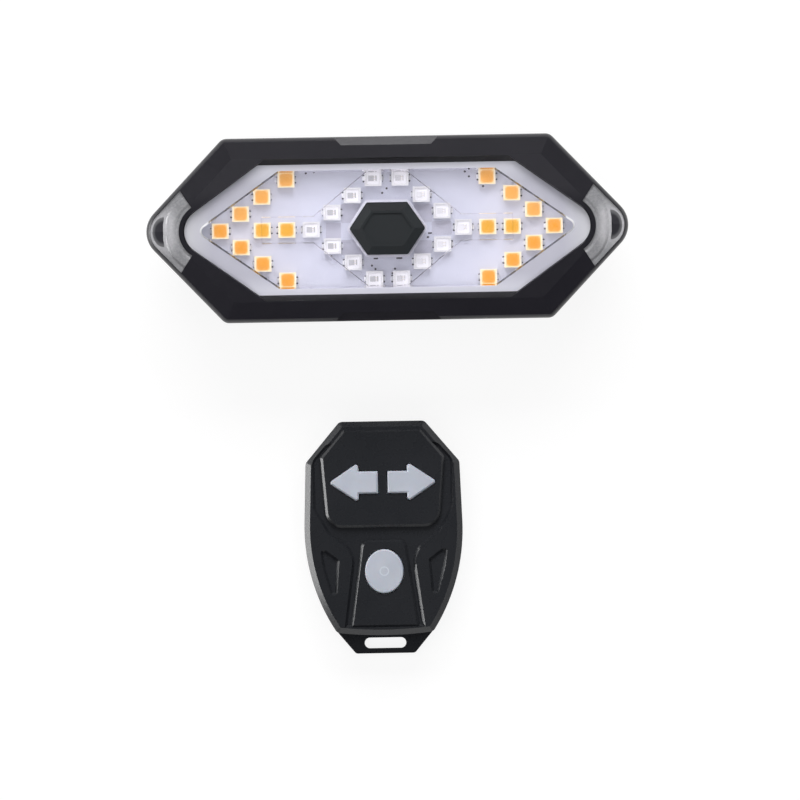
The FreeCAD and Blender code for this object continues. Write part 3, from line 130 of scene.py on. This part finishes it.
def picked_by(tree, ray, picked, otherwise):
    """One shader for the rays of a kind and another for all the rest."""
    rays = tree.nodes.new("ShaderNodeLightPath")
    choice = tree.nodes.new("ShaderNodeMixShader")
    tree.links.new(rays.outputs[ray], choice.inputs["Fac"])
    tree.links.new(otherwise.outputs[0], choice.inputs[1])
    tree.links.new(picked.outputs[0], choice.inputs[2])
    return choice.outputs[0]


wall_glare, ceiling_glare = 2.2, 0.33
wall_top, ceiling_start = 0.04, 0.30
room = bpy.data.worlds.new("room")
bpy.context.scene.world = room
room.use_nodes = True
tree = room.node_tree
around = tree.nodes.new("ShaderNodeTexCoord")
way = split(tree, around.outputs["Generated"])
headward = worked_out(tree, "MULTIPLY_ADD", way["Y"], 1.3, 1.0)
glare = spread(tree, way["Z"], wall_glare, ceiling_glare, wall_top, ceiling_start)
glare = worked_out(tree, "MULTIPLY", glare, worked_out(tree, "MAXIMUM", headward, 0.75))
walls = tree.nodes["Background"]
tree.links.new(glare, walls.inputs["Strength"])
backdrop = add_shader(tree, "ShaderNodeBackground", Color=(1, 1, 1, 1))
tree.links.new(picked_by(tree, "Is Camera Ray", backdrop, walls),
               tree.nodes["World Output"].inputs["Surface"])


# The white table top on which the pair lies. It shows as white to the viewpoint and in shiny
# pieces, and keeps the faint shadow of the pair. It lies a hair below them.
def laid_out(mesh, name):
    piece = bpy.data.objects.new(name, mesh)
    bpy.context.scene.collection.objects.link(piece)
    return piece


table_reach = 12.0
table_mesh = bpy.data.meshes.new("table")
table_mesh.from_pydata([(-table_reach, -table_reach, 0), (table_reach, -table_reach, 0),
                        (table_reach, table_reach, 0), (-table_reach, table_reach, 0)], [], [(0, 1, 2, 3)])
table = laid_out(table_mesh, "table")
table.location.z = -0.00003
table_paper = bpy.data.materials.new("table_paper")
table_paper.use_nodes = True
tree = table_paper.node_tree
tree.nodes.remove(tree.nodes["Principled BSDF"])
paper = add_shader(tree, "ShaderNodeBsdfDiffuse", Color=(0.20, 0.20, 0.20, 1))
glow = add_shader(tree, "ShaderNodeEmission", Color=(1, 1, 1, 1))
rays = tree.nodes.new("ShaderNodeLightPath")
seen = worked_out(tree, "MAXIMUM", rays.outputs["Is Camera Ray"], rays.outputs["Is Transmission Ray"])
seen = worked_out(tree, "MULTIPLY", seen, 0.86)
shine = worked_out(tree, "MULTIPLY", rays.outputs["Is Glossy Ray"], 1.2)
tree.links.new(worked_out(tree, "MAXIMUM", seen, shine), glow.inputs["Strength"])
both = tree.nodes.new("ShaderNodeAddShader")
tree.links.new(paper.outputs[0], both.inputs[0])
tree.links.new(glow.outputs[0], both.inputs[1])
tree.links.new(both.outputs[0], tree.nodes["Material Output"].inputs["Surface"])
table_mesh.materials.append(table_paper)


# Rear shell and front frame of the light, two halves moulded in black ABS with a fine spark-eroded
# grain. Four screws from the back hold them together on a gasket.
def speckle(tree, size, detail=2.0):
    """A grain whose lumps are about that size, fixed to the piece."""
    place = tree.nodes.new("ShaderNodeTexCoord")
    noise = add_shader(tree, "ShaderNodeTexNoise", Scale=1.0 / size, Detail=detail)
    tree.links.new(place.outputs["Object"], noise.inputs["Vector"])
    return noise.outputs["Fac"]


def blended(tree, factor, first, second):
    """Two colours, or colour sockets, mixed by a factor."""
    mix = tree.nodes.new("ShaderNodeMix")
    mix.data_type = "RGBA"
    tree.links.new(factor, mix.inputs["Factor"])
    sockets = [socket for socket in mix.inputs if socket.type == "RGBA"]
    for socket, colour in zip(sockets, (first, second)):
        if isinstance(colour, tuple):
            socket.default_value = (*colour, 1.0)
        else:
            tree.links.new(colour, socket)
    return [socket for socket in mix.outputs if socket.type == "RGBA"][0]


def patchy(tree, tones, mottle=0.012):
    """Two close tones in soft patches of about that size."""
    return blended(tree, spread(tree, speckle(tree, mottle, 3.0), 0.0, 1.0), *tones)


def coloured(finish, colour):
    finish.node_tree.links.new(colour, finish.node_tree.nodes["Principled BSDF"].inputs["Base Color"])


def grained(name, gloss, grain, relief, **fixed):
    """A surface with uneven roughness and a fine relief, whose colour is still to come."""
    finish = bpy.data.materials.new(name)
    finish.use_nodes = True
    tree = finish.node_tree
    skin = tree.nodes["Principled BSDF"]
    lumps = speckle(tree, grain)
    tree.links.new(spread(tree, lumps, *gloss), skin.inputs["Roughness"])
    bump = tree.nodes.new("ShaderNodeBump")
    bump.inputs["Distance"].default_value = relief
    tree.links.new(lumps, bump.inputs["Height"])
    tree.links.new(bump.outputs["Normal"], skin.inputs["Normal"])
    for socket, value in fixed.items():
        skin.inputs[socket.replace("_", " ")].default_value = value
    return finish


def place_on(tree):
    """Where a point of the piece lies, in metres."""
    spot = tree.nodes.new("ShaderNodeTexCoord")
    return split(tree, spot.outputs["Object"])


def facing_of(tree):
    """Which way the surface faces."""
    turned = tree.nodes.new("ShaderNodeNewGeometry")
    return split(tree, turned.outputs["True Normal"])


def dress(finish, *names):
    for name in names:
        nodes[name].data.materials.clear()
        nodes[name].data.materials.append(finish)


light_y = 33.25


def off_axis(tree, place):
    """How far a place lies towards the head from the light's long axis."""
    return worked_out(tree, "SUBTRACT", place["Y"], light_y / 1000)


# The level face of the frame beside the points of the lens is painted paler on the head side, a painted
# highlight, and the steep slopes that fall towards the lens are painted near black, painted shade.
housing_black = grained("housing_black", (0.34, 0.46), 0.0003, 0.0000015)
tree = housing_black.node_tree
place = place_on(tree)
facing = facing_of(tree)
painted_light_headside = spread(tree, place["Y"], 0.0, 1.0, (light_y + 4) / 1000, (light_y + 8) / 1000)
level = spread(tree, facing["Z"], 0.0, 1.0, 0.9955, 0.9985)
steep = spread(tree, facing["Z"], 1.0, 0.0, 0.60, 0.75)
painted_shade_towards_lens = worked_out(tree, "MULTIPLY", off_axis(tree, place), facing["Y"])
painted_shade_towards_lens = worked_out(tree, "LESS_THAN", painted_shade_towards_lens, 0.0)
black = patchy(tree, ((0.0080, 0.0072, 0.0118), (0.0104, 0.0096, 0.0148)))
# Painted highlight: the level faces on the head side are made paler.
black = blended(tree, worked_out(tree, "MULTIPLY", level, painted_light_headside), black, (0.0222, 0.0212, 0.0272))
# Painted shade: the steep faces that turn towards the lens are made near black.
black = blended(tree, worked_out(tree, "MULTIPLY", painted_shade_towards_lens, steep), black, (0.0020, 0.0018, 0.0030))
coloured(housing_black, black)
dress(housing_black, "front_bezel", "rear_shell")


# Gaskets: soft black silicone rings, moulded in one piece each and pressed into grooves. They seal
# the two housings and the battery door.
def moulded(name, tones, gloss, grain, relief, mottle=0.012, **fixed):
    """A grained surface in two close tones."""
    finish = grained(name, gloss, grain, relief, **fixed)
    coloured(finish, patchy(finish.node_tree, tones, mottle))
    return finish


seal_rubber = moulded("seal_rubber", ((0.018, 0.018, 0.018), (0.028, 0.028, 0.028)), (0.60, 0.80),
                      0.0004, 0.00001)
dress(seal_rubber, "housing_seal", "remote_seal", "door_seal")

# Screws: nickel-plated steel with a turned head and a pressed cross. They hold the housings, the
# saddle and the remote's shells from the back.
bright_steel = moulded("bright_steel", ((0.42, 0.41, 0.39), (0.56, 0.55, 0.53)), (0.24, 0.42),
                       0.0003, 0.000003, Metallic=1.0)
dress(bright_steel, "housing_screws", "saddle_screws", "remote_screws")

# Saddle on the back: a glass-filled nylon bracket with strap hooks, lined with a ribbed rubber pad.
# The flap over the charging port is of the same rubber.
nylon_black = moulded("nylon_black", ((0.010, 0.010, 0.011), (0.016, 0.016, 0.017)), (0.42, 0.60),
                      0.0003, 0.000006)
dress(nylon_black, "saddle_bracket")
pad_rubber = moulded("pad_rubber", ((0.012, 0.012, 0.012), (0.020, 0.020, 0.021)), (0.62, 0.85),
                     0.0005, 0.000012)
dress(pad_rubber, "saddle_pad", "port_cover")

# Battery: a wound pouch cell in aluminium laminate on white foam tape, with two insulated leads
# soldered to the lamp board.
pouch_foil = moulded("pouch_foil", ((0.50, 0.51, 0.53), (0.66, 0.67, 0.70)), (0.25, 0.45),
                     0.002, 0.00004, Metallic=0.9)
dress(pouch_foil, "battery")
foam_white = moulded("foam_white", ((0.62, 0.62, 0.60), (0.74, 0.74, 0.72)), (0.80, 0.95),
                     0.0004, 0.00003)
dress(foam_white, "battery_tape")
lead_red = moulded("lead_red", ((0.36, 0.016, 0.012), (0.48, 0.03, 0.02)), (0.35, 0.5),
                   0.0006, 0.000005)
dress(lead_red, "battery_leads")

# Parts out of sight: black epoxy chips and resistors, the radio and the remote's circuit on green
# boards, and the socket, switch, key domes, contact and coin cell of plated steel.
epoxy_black = moulded("epoxy_black", ((0.012, 0.012, 0.013), (0.022, 0.022, 0.023)), (0.5, 0.7),
                      0.0002, 0.000006)
dress(epoxy_black, "driver_chip", "board_resistors", "switch_plunger", "remote_chip", "cell_holder")
mask_green = moulded("mask_green", ((0.008, 0.085, 0.035), (0.012, 0.12, 0.05)), (0.3, 0.45),
                     0.0008, 0.00001)
dress(mask_green, "radio_receiver", "remote_board")
plated_steel = moulded("plated_steel", ((0.50, 0.50, 0.50), (0.64, 0.64, 0.63)), (0.2, 0.38),
                       0.0004, 0.000003, Metallic=1.0)
dress(plated_steel, "charging_socket", "main_switch", "key_domes", "cell_contact", "coin_cell")

# Lamp board: glass-fibre laminate under white solder mask, clamped below the lens. Six thin greyer
# patches lie on the mask beside the button, and small plated holes join its two sides.
board_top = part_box("led_board")[1].z * 1000
board_white = moulded("board_white", ((0.56, 0.575, 0.655), (0.60, 0.615, 0.695)), (0.35, 0.5),
                      0.0006, 0.00001, mottle=0.006)
dress(board_white, "led_board")


def build(name, points, faces, finish, body, smooth=False):
    """A piece from points in millimetres, which rides on a body of the part."""
    mesh = bpy.data.meshes.new(name)
    mesh.from_pydata([(x / 1000, y / 1000, z / 1000) for x, y, z in points], [], faces)
    mesh.materials.append(finish)
    for face in mesh.polygons:
        face.use_smooth = smooth
    piece = laid_out(mesh, name)
    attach(piece, body)
    return piece


def plate_on(points, faces, outline, low, high, bevel):
    """Adds a thin plate with a bevelled upper edge, over an outline listed anticlockwise."""
    start = len(points)
    count = len(outline)
    middle_x = sum(x for x, y in outline) / count
    middle_y = sum(y for x, y in outline) / count
    points += [(x, y, low) for x, y in outline]
    points += [(x, y, high - bevel) for x, y in outline]
    for x, y in outline:
        reach = math.hypot(x - middle_x, y - middle_y)
        keep = 1 - bevel / reach
        points.append((middle_x + (x - middle_x) * keep, middle_y + (y - middle_y) * keep, high))
    for ring in (start, start + count):
        faces += [(ring + i, ring + (i + 1) % count, ring + count + (i + 1) % count, ring + count + i)
                  for i in range(count)]
    faces.append(tuple(range(start + 2 * count, start + 3 * count)))


def oblong(middle, half_x, half_y, corner, steps=3):
    """The outline of a rectangle with rounded corners."""
    outline = []
    for turn, (side_x, side_y) in enumerate(((1, 1), (-1, 1), (-1, -1), (1, -1))):
        for step in range(steps + 1):
            angle = math.pi / 2 * (turn + step / steps)
            outline.append((middle[0] + side_x * (half_x - corner) + corner * math.cos(angle),
                            middle[1] + side_y * (half_y - corner) + corner * math.sin(angle)))
    return outline


# Six thin plates, greyer than the mask, beside the button.
greyer_patches = moulded("greyer_patches", ((0.45, 0.45, 0.52), (0.50, 0.50, 0.57)), (0.35, 0.5),
                       0.0006, 0.00001, mottle=0.004)
edge_bevel = 0.02
field_top = board_top + 0.03
points, faces = [], []
for x, y, half_x, half_y in ((-7.3, 3.1, 1.9, 1.9), (-10.8, -0.4, 1.5, 1.7), (-7.2, -3.7, 2.1, 1.5),
                             (7.2, 2.9, 1.8, 1.8), (10.9, -0.1, 2.0, 1.4), (7.1, -3.8, 1.8, 1.3)):
    plate_on(points, faces, oblong((x, light_y + y), half_x, half_y, 0.3), board_top, field_top, edge_bevel)
build("board_greyer_patches", points, faces, greyer_patches, "light")

# Dark finish of the plated holes, also used for the beads of painted shade beside the solder joints.
hole_and_shade_dark = moulded("hole_and_shade_dark", ((0.012, 0.010, 0.016), (0.03, 0.025, 0.035)), (0.3, 0.5),
                    0.0002, 0.000004, mottle=0.001)
hole_half, slot_half = 0.22, 0.16
hole_top = board_top + 0.04
points, faces = [], []
for x, y in ((-16.1, 11.3), (-14.5, 11.5), (-0.9, 7.1), (0.0, 8.0), (15.7, 11.1), (16.5, 10.1),
             (19.3, 8.1), (-11.3, -5.4), (-3.2, -7.4), (-2.5, -8.1), (0.9, -9.0), (1.4, -8.1)):
    rim = oblong((x, light_y + y), hole_half, hole_half, hole_half - 0.01)
    plate_on(points, faces, rim, board_top, hole_top, edge_bevel)
for x, y, half_length in ((-2.4, -6.0, 0.45), (2.3, -6.0, 0.6), (8.5, -1.1, 0.4), (8.1, -1.9, 0.25)):
    rim = oblong((x, light_y + y), half_length, slot_half, 0.1)
    plate_on(points, faces, rim, board_top, hole_top, edge_bevel)
build("board_holes", points, faces, hole_and_shade_dark, "light")

# Lamps: moulded cases with a square window. Each arrowhead has nine with amber phosphor resin,
# which is thin and yellow at its rim, and the ring has fourteen with a bare grey chip.
lamp_rows = 3.35
ring_columns = (2.7, 6.9, 11.0, 15.2)
arrow_columns = (20.1, 25.0, 29.3, 33.4)
lamp_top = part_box("red_led_cases")[1].z * 1000


def chevron(columns):
    """Lamp places in columns that close up towards the last one, on the axis."""
    places = []
    for step, x in enumerate(columns):
        y = (3 - step) * lamp_rows
        places += [(x, y), (x, -y)] if y else [(x, 0.0)]
    return places


def net(start, rows, columns):
    """The faces over a grid of points that begins at that point."""
    corners = [start + i * (columns + 1) + j for i in range(rows) for j in range(columns)]
    return [(corner, corner + columns + 1, corner + columns + 2, corner + 1) for corner in corners]


def take_tints(finish):
    """A finish that takes its colour from the tints of the piece's points."""
    tint = finish.node_tree.nodes.new("ShaderNodeAttribute")
    tint.attribute_name = "tint"
    coloured(finish, tint.outputs["Color"])


def paint(piece, tints):
    shades = piece.data.color_attributes.new("tint", "FLOAT_COLOR", "POINT")
    for point, shade in enumerate(tints):
        shades.data[point].color = (*shade, 1.0)


ring_places = [(side * x, y) for side in (-1, 1) for x, y in chevron(ring_columns)]
arrow_places = chevron(arrow_columns) + [(x, 0.0) for x in arrow_columns[:2]]
case_cream = moulded("case_cream", ((0.86, 0.74, 0.52), (0.90, 0.79, 0.60)), (0.30, 0.45),
                     0.0004, 0.000006, mottle=0.003)
dress(case_cream, "amber_led_cases_left", "amber_led_cases_right")
case_white = moulded("case_white", ((0.66, 0.66, 0.66), (0.71, 0.71, 0.71)), (0.30, 0.45),
                     0.0004, 0.000006, mottle=0.003)
dress(case_white, "red_led_cases")

amber_resin = grained("amber_resin", (0.20, 0.30), 0.0005, 0.000002, Specular_IOR_Level=0.2)
take_tints(amber_resin)
resin_core = Vector((0.80, 0.31, 0.012))
# Painted highlight: the cores on the head side are made paler.
resin_core_painted_paler = Vector((0.81, 0.36, 0.055))
resin_core_shaft = Vector((0.74, 0.35, 0.006))
resin_rim = Vector((0.95, 0.76, 0.42))
resin_half = 1.42
resin_crown = 0.05
rim_start = 0.84
cells = 10
for side, name in ((-1, "left"), (1, "right")):
    points, faces, tints = [], [], []
    for x, y in arrow_places:
        core = resin_core
        # Head-side lamps take the paler core, a painted highlight.
        if y > 0:
            core = resin_core_painted_paler
        elif x in arrow_columns[:2] and y == 0:
            core = resin_core_shaft
        faces += net(len(points), cells, cells)
        for i in range(cells + 1):
            for j in range(cells + 1):
                across = 2 * i / cells - 1
                along = 2 * j / cells - 1
                edge = (across ** 4 + along ** 4) ** 0.25
                crown = resin_crown * (1 - across * across) * (1 - along * along)
                points.append((side * x + resin_half * across, light_y + y + resin_half * along,
                               lamp_top + 0.01 + crown))
                rim = min(1.0, max(0.0, edge - rim_start) / (1 - rim_start))
                tints.append(core.lerp(resin_rim, 0.12 * edge + 0.88 * rim))
    resin = build("resin_" + name, points, faces, amber_resin, "light", smooth=True)
    paint(resin, tints)
    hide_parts("amber_phosphors_" + name)

# Inside each lamp of the ring: a white floor, the bare chip left of its middle, and a narrow
# plated pad beside it that two fine wires join to the chip. Clear resin covers them. The chips in
# the lamps of the right half are paler.
floor_white = moulded("floor_white", ((0.80, 0.80, 0.81), (0.85, 0.85, 0.86)), (0.35, 0.5),
                      0.0003, 0.000003)
chip_grey = grained("chip_grey", (0.3, 0.5), 0.0002, 0.000004)
tree = chip_grey.node_tree
paler_right_half = spread(tree, place_on(tree)["X"], 0.0, 1.0, -0.001, 0.006)
coloured(chip_grey, blended(tree, paler_right_half, (0.46, 0.46, 0.47), (0.70, 0.70, 0.71)))
chip_low, chip_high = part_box("red_led_chips")
chip_top = chip_high.z * 1000
floor = chip_low.z * 1000
floor_half, chip_half, pad_half = 1.22, 0.55, 0.12
chip_shift, pad_shift = -0.38, 0.62
floor_top, pad_top = floor + 0.02, floor + 0.04
points, faces = [], []
for x, y in ring_places:
    rim = oblong((x, light_y + y), floor_half, floor_half, 0.3)
    plate_on(points, faces, rim, floor, floor_top, 0.01)
build("ring_floors", points, faces, floor_white, "light")
points, faces = [], []
for x, y in ring_places:
    rim = oblong((x + chip_shift, light_y + y), chip_half, chip_half, 0.06)
    plate_on(points, faces, rim, floor_top, chip_top, 0.02)
    rim = oblong((x + pad_shift, light_y + y), pad_half, chip_half, 0.05)
    plate_on(points, faces, rim, floor, pad_top, 0.01)
chips = build("ring_chips", points, faces, chip_grey, "light")
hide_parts("red_led_chips")

wire_radius, wire_rise = 0.03, 0.09
wire_start, wire_length = 0.05, 0.57
wire_steps, wire_sides = 6, 6
points, faces = [], []
for x, y in ring_places:
    for row in (-0.25, 0.25):
        start = len(points)
        for step in range(wire_steps + 1):
            run = step / wire_steps
            rise = wire_rise * math.sin(math.pi * run)
            base = chip_top + (pad_top - chip_top) * run
            for turn in range(wire_sides):
                angle = 2 * math.pi * turn / wire_sides
                points.append((x + wire_start + wire_length * run,
                               light_y + y + row + wire_radius * math.cos(angle),
                               base + wire_radius + rise + wire_radius * math.sin(angle)))
        for i in range(wire_steps):
            ring = start + wire_sides * i
            for j in range(wire_sides):
                beside = (j + 1) % wire_sides
                faces.append((ring + j, ring + wire_sides + j, ring + wire_sides + beside, ring + beside))
wire_gold = moulded("wire_gold", ((0.60, 0.50, 0.34), (0.70, 0.60, 0.42)), (0.25, 0.4),
                    0.0002, 0.000002, Metallic=0.8)
build("ring_wires", points, faces, wire_gold, "light", smooth=True)

# Solder joints: a bright concave fillet at both ends of every lamp case, reflowed on the board,
# with two dark beads of painted shade beside it.
solder_tin = moulded("solder_tin", ((0.66, 0.66, 0.68), (0.78, 0.78, 0.80)), (0.40, 0.52),
                     0.0004, 0.000003, mottle=0.0008, Metallic=0.15)
all_places = ring_places + [(side * x, y) for side in (-1, 1) for x, y in arrow_places]
# Dark beads of painted shade, put where the joints shade the board.
bead_out, bead_top = 1.9, board_top + 0.05
points, faces = [], []
for number, (x, y) in enumerate(all_places):
    for end in (-1, 1):
        for row in (-0.62, 0.55):
            bead = 0.15 + 0.05 * math.sin(2.4 * number + 5 * row + end)
            rim = oblong((x + end * bead_out, light_y + y + row), bead, bead, bead - 0.01)
            plate_on(points, faces, rim, board_top, bead_top, edge_bevel)
build("joint_shade_beads", points, faces, hole_and_shade_dark, "light")

fillet_start, fillet_length, fillet_height, fillet_half = 1.7, 0.46, 0.6, 0.5
fillet_rows, fillet_columns = 4, 5
points, faces = [], []
for x, y in all_places:
    for end in (-1, 1):
        faces += [face if end > 0 else face[::-1] for face in net(len(points), fillet_rows, fillet_columns)]
        for i in range(fillet_rows + 1):
            out = i / fillet_rows
            half = fillet_half * (1 - 0.4 * out * out)
            for j in range(fillet_columns + 1):
                along = 2 * j / fillet_columns - 1
                rise = fillet_height * (1 - out) ** 2 * (1 - 0.4 * along * along)
                points.append((x + end * (fillet_start + fillet_length * out),
                               light_y + y + half * along, board_top + 0.02 + rise))
build("lamp_solder", points, faces, solder_tin, "light", smooth=True)

# Lens: clear polycarbonate bonded into the frame. Its flange is frosted, and its pointed field and its
# arrow stand proud and are polished. Their bevelled steps are tinted as painted light: dark lines of
# painted shade, paler on faces turned sideways and near the axis, and frosted white near the points as a
# painted highlight.
lens_clear = bpy.data.materials.new("lens_clear")
lens_clear.use_nodes = True
tree = lens_clear.node_tree
glass = tree.nodes["Principled BSDF"]
glass.inputs["IOR"].default_value = 1.45
glass.inputs["Specular IOR Level"].default_value = 0.2
facing = facing_of(tree)
place = place_on(tree)
away_x = worked_out(tree, "ABSOLUTE", place["X"])
away_y = worked_out(tree, "ABSOLUTE", off_axis(tree, place))
lens_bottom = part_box("front_lens")[0].z

flat = spread(tree, facing["Z"], 0.0, 1.0, 0.90, 0.97)
flange = worked_out(tree, "MULTIPLY", worked_out(tree, "LESS_THAN", place["Z"], lens_bottom + 0.00165),
                    worked_out(tree, "GREATER_THAN", place["Z"], lens_bottom + 0.00150))
flange = worked_out(tree, "MULTIPLY", flange, flat)
nose = spread(tree, away_x, 0.0, 1.0, 0.0350, 0.0395)
straight = worked_out(tree, "MULTIPLY", spread(tree, away_y, 0.0, 1.0, 0.009, 0.012),
                      spread(tree, away_x, 1.0, 0.0, 0.0270, 0.0300))
frosted = blended(tree, straight, (0.55, 0.545, 0.625), (0.70, 0.70, 0.78))
frosted = blended(tree, nose, frosted, (0.68, 0.68, 0.73))

sideways = spread(tree, worked_out(tree, "ABSOLUTE", facing["X"]), 0.0, 1.0, 0.2, 0.3)
# Painted light on the arrow's steps: pale near the axis, dark further out.
painted_arrow_lines = blended(tree, spread(tree, away_y, 0.0, 1.0, 0.0025, 0.0080), (0.74, 0.69, 0.80),
                     (0.19, 0.18, 0.21))
upper = worked_out(tree, "GREATER_THAN", place["Z"], lens_bottom + 0.00215)
# Painted shade on the upper step faces, painted highlight on those that face sideways.
painted_step_lines = blended(tree, upper, (0.13, 0.13, 0.14), painted_arrow_lines)
painted_step_lines = blended(tree, sideways, (0.80, 0.77, 0.84), painted_step_lines)
step_foot = worked_out(tree, "MULTIPLY", worked_out(tree, "SUBTRACT", 1.0, flat),
                       worked_out(tree, "SUBTRACT", 1.0, upper))
# Painted highlight: the step feet near the points are frosted white.
tip = worked_out(tree, "MULTIPLY", spread(tree, away_x, 0.0, 1.0, 0.0352, 0.0360), step_foot)
clear = blended(tree, flat, painted_step_lines, (0.98, 0.98, 0.995))
clear = blended(tree, tip, clear, (0.96, 0.96, 0.98))
coloured(lens_clear, blended(tree, flange, clear, frosted))

matt = worked_out(tree, "MAXIMUM", flange, tip)
tree.links.new(worked_out(tree, "SUBTRACT", 1.0, worked_out(tree, "MULTIPLY", matt, 0.9)),
               glass.inputs["Transmission Weight"])
ripple = spread(tree, speckle(tree, 0.006), 0.01, 0.04)
tree.links.new(worked_out(tree, "MAXIMUM", ripple, worked_out(tree, "MULTIPLY", matt, 0.42)),
               glass.inputs["Roughness"])
open_way = add_shader(tree, "ShaderNodeBsdfTransparent", Color=(0.95, 0.95, 0.97, 1))
tree.links.new(picked_by(tree, "Is Shadow Ray", open_way, glass),
               tree.nodes["Material Output"].inputs["Surface"])
dress(lens_clear, "front_lens")

# End windows: smoky frosted polycarbonate, with a rounded light guide moulded in them whose colour is
# painted lighter, a painted highlight of the light on its curve.
# The half-moon at the tip is a dark plate laid on the bezel's own island, paler and soft at its edge.
window_smoke = grained("window_smoke", (0.20, 0.34), 0.0005, 0.000002)
tree = window_smoke.node_tree
place = place_on(tree)
guide_start = spread(tree, worked_out(tree, "ABSOLUTE", place["X"]), 0.0, 1.0, 0.0416, 0.0432)
guide_end = spread(tree, worked_out(tree, "ABSOLUTE", off_axis(tree, place)), 1.0, 0.0, 0.0022, 0.0055)
guide = worked_out(tree, "MULTIPLY", guide_start, guide_end)
# Painted highlight: the colour is lighter over the light guide's curve.
coloured(window_smoke, blended(tree, guide, (0.285, 0.285, 0.30), (0.51, 0.505, 0.53)))
dress(window_smoke, "end_window_left", "end_window_right")

dark_moon_finish = grained("dark_moon_finish", (0.30, 0.42), 0.0005, 0.000002)
take_tints(dark_moon_finish)
moon_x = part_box("front_bezel")[1].x * 1000 - 3.55
moon_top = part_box("end_window_right")[1].z * 1000 - 0.22
moon_width, moon_half, moon_middle = 2.35, 3.0, 0.55
moon_rings = ((0.0, (0.022, 0.021, 0.028)), (0.66, (0.026, 0.025, 0.032)), (1.0, (0.18, 0.18, 0.19)))
fall_outward, fall_sideways = 0.0885, 0.0839
moon_steps = 16
for side, name in ((-1, "left"), (1, "right")):
    points, faces, tints = [], [], []
    for reach, shade in moon_rings:
        for step in range(moon_steps + 1):
            turn = math.pi * (step / moon_steps - 0.5)
            out = moon_middle + (moon_width * math.cos(turn) - moon_middle) * reach
            y = moon_half * math.sin(turn) * reach
            points.append((side * (moon_x + out), light_y + y,
                           moon_top - fall_outward * out - fall_sideways * abs(y)))
            tints.append(shade)
    faces += [face[::side] for face in net(0, len(moon_rings) - 1, moon_steps)]
    base, crown = moon_steps + 1, 2 * moon_steps + 2
    faces.append((0, base + moon_steps, base)[::side])
    faces.append((base, base + moon_steps, crown + moon_steps, crown)[::side])
    moon = build("tip_half_moon_" + name, points, faces, dark_moon_finish, "light")
    paint(moon, tints)

# Centre button: a matt black cap with a sloped rim and a dished hexagon, on a flange that seals it under
# the lens.
# The flange is painted pale, a painted highlight of the light that the edge of the lens's hole pipes round
# the button, and the faces that turn towards the head are painted darker, painted shade that evens out the
# light on them.
button_black = grained("button_black", (0.50, 0.60), 0.0002, 0.000003, Specular_IOR_Level=0.14)
tree = button_black.node_tree
below_lens = worked_out(tree, "LESS_THAN", place_on(tree)["Z"], lens_bottom + 0.00002)
# Painted shade: faces turned towards the head are made darker.
headward = spread(tree, facing_of(tree)["Y"], 0.0, 1.0, 0.19, 0.30)
cap = blended(tree, headward, (0.024, 0.027, 0.030), (0.0135, 0.0145, 0.017))
# Painted highlight: the part below the lens is made pale.
coloured(button_black, blended(tree, below_lens, cap, (0.66, 0.66, 0.72)))
dress(button_black, "main_button")

# Remote: two shells and a twist door, moulded in semi-gloss black ABS. Four screws hold the shells
# on their gasket, and the door turns in the lower one.
remote_black = moulded("remote_black", ((0.0163, 0.0176, 0.0210), (0.0193, 0.0206, 0.0243)),
                       (0.265, 0.285), 0.002, 0.0000003)
dress(remote_black, "remote_upper_shell", "remote_lower_shell", "battery_door")

# Outer wall of the remote's channel on the right, moulded with the upper shell. It leans back
# beside the raised panel and narrows at both ends.
shell_low, shell_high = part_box("remote_upper_shell")
shell_x = (shell_low.x + shell_high.x) * 500
wall_x, wall_across = shell_x + 6.43, 1.64
wall_y, wall_along = shell_high.y * 1000 - 28.7, 12.2
wall_crest = shell_high.z * 1000 - 0.72
wall_width, wall_lean = 0.85, 0.6
wall_steps = 12
points = []
for step in range(wall_steps + 1):
    run = step / wall_steps
    width = wall_width * min(1.0, 0.2 + 4 * run, 0.2 + 8 * (1 - run))
    x = wall_x + wall_across * run
    y = wall_y - wall_along * run
    points += [(x, y, wall_crest), (x - width, y, wall_crest - wall_lean * width)]
faces = [(2 * i, 2 * i + 1, 2 * i + 3, 2 * i + 2) for i in range(wall_steps)]
build("channel_wall", points, faces, remote_black, "remote")

# Keys of the remote: one mat of pale translucent silicone, cut into two arrows and an oval and
# laid over the snap domes. The oval carries the round mark of the mould's gate.
key_silicone = moulded("key_silicone", ((0.49, 0.52, 0.595), (0.54, 0.57, 0.65)), (0.40, 0.54),
                       0.0005, 0.000006, mottle=0.004, Subsurface_Weight=0.1, Subsurface_Scale=0.001)
dress(key_silicone, "left_arrow_key", "right_arrow_key", "round_key")
key_low, key_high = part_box("round_key")
middle = (key_low + key_high) * 500
gate_rings = ((0.66, -0.02), (0.84, 0.03), (1.02, -0.02))
gate_steps = 24
points, faces = [], []
for step in range(gate_steps):
    angle = 2 * math.pi * step / gate_steps
    for radius, rise in gate_rings:
        points.append((middle.x + radius * math.cos(angle), middle.y + radius * math.sin(angle),
                       key_high.z * 1000 + rise))
for step in range(gate_steps):
    for lane in (0, 1):
        corner = 3 * step + lane
        over = 3 * ((step + 1) % gate_steps) + lane
        faces.append((corner, corner + 1, over + 1, over))
gate_mark = moulded("gate_mark", ((0.60, 0.64, 0.72), (0.66, 0.70, 0.78)), (0.40, 0.54),
                    0.0005, 0.000003)
build("gate_mark", points, faces, gate_mark, "round_key", smooth=True)
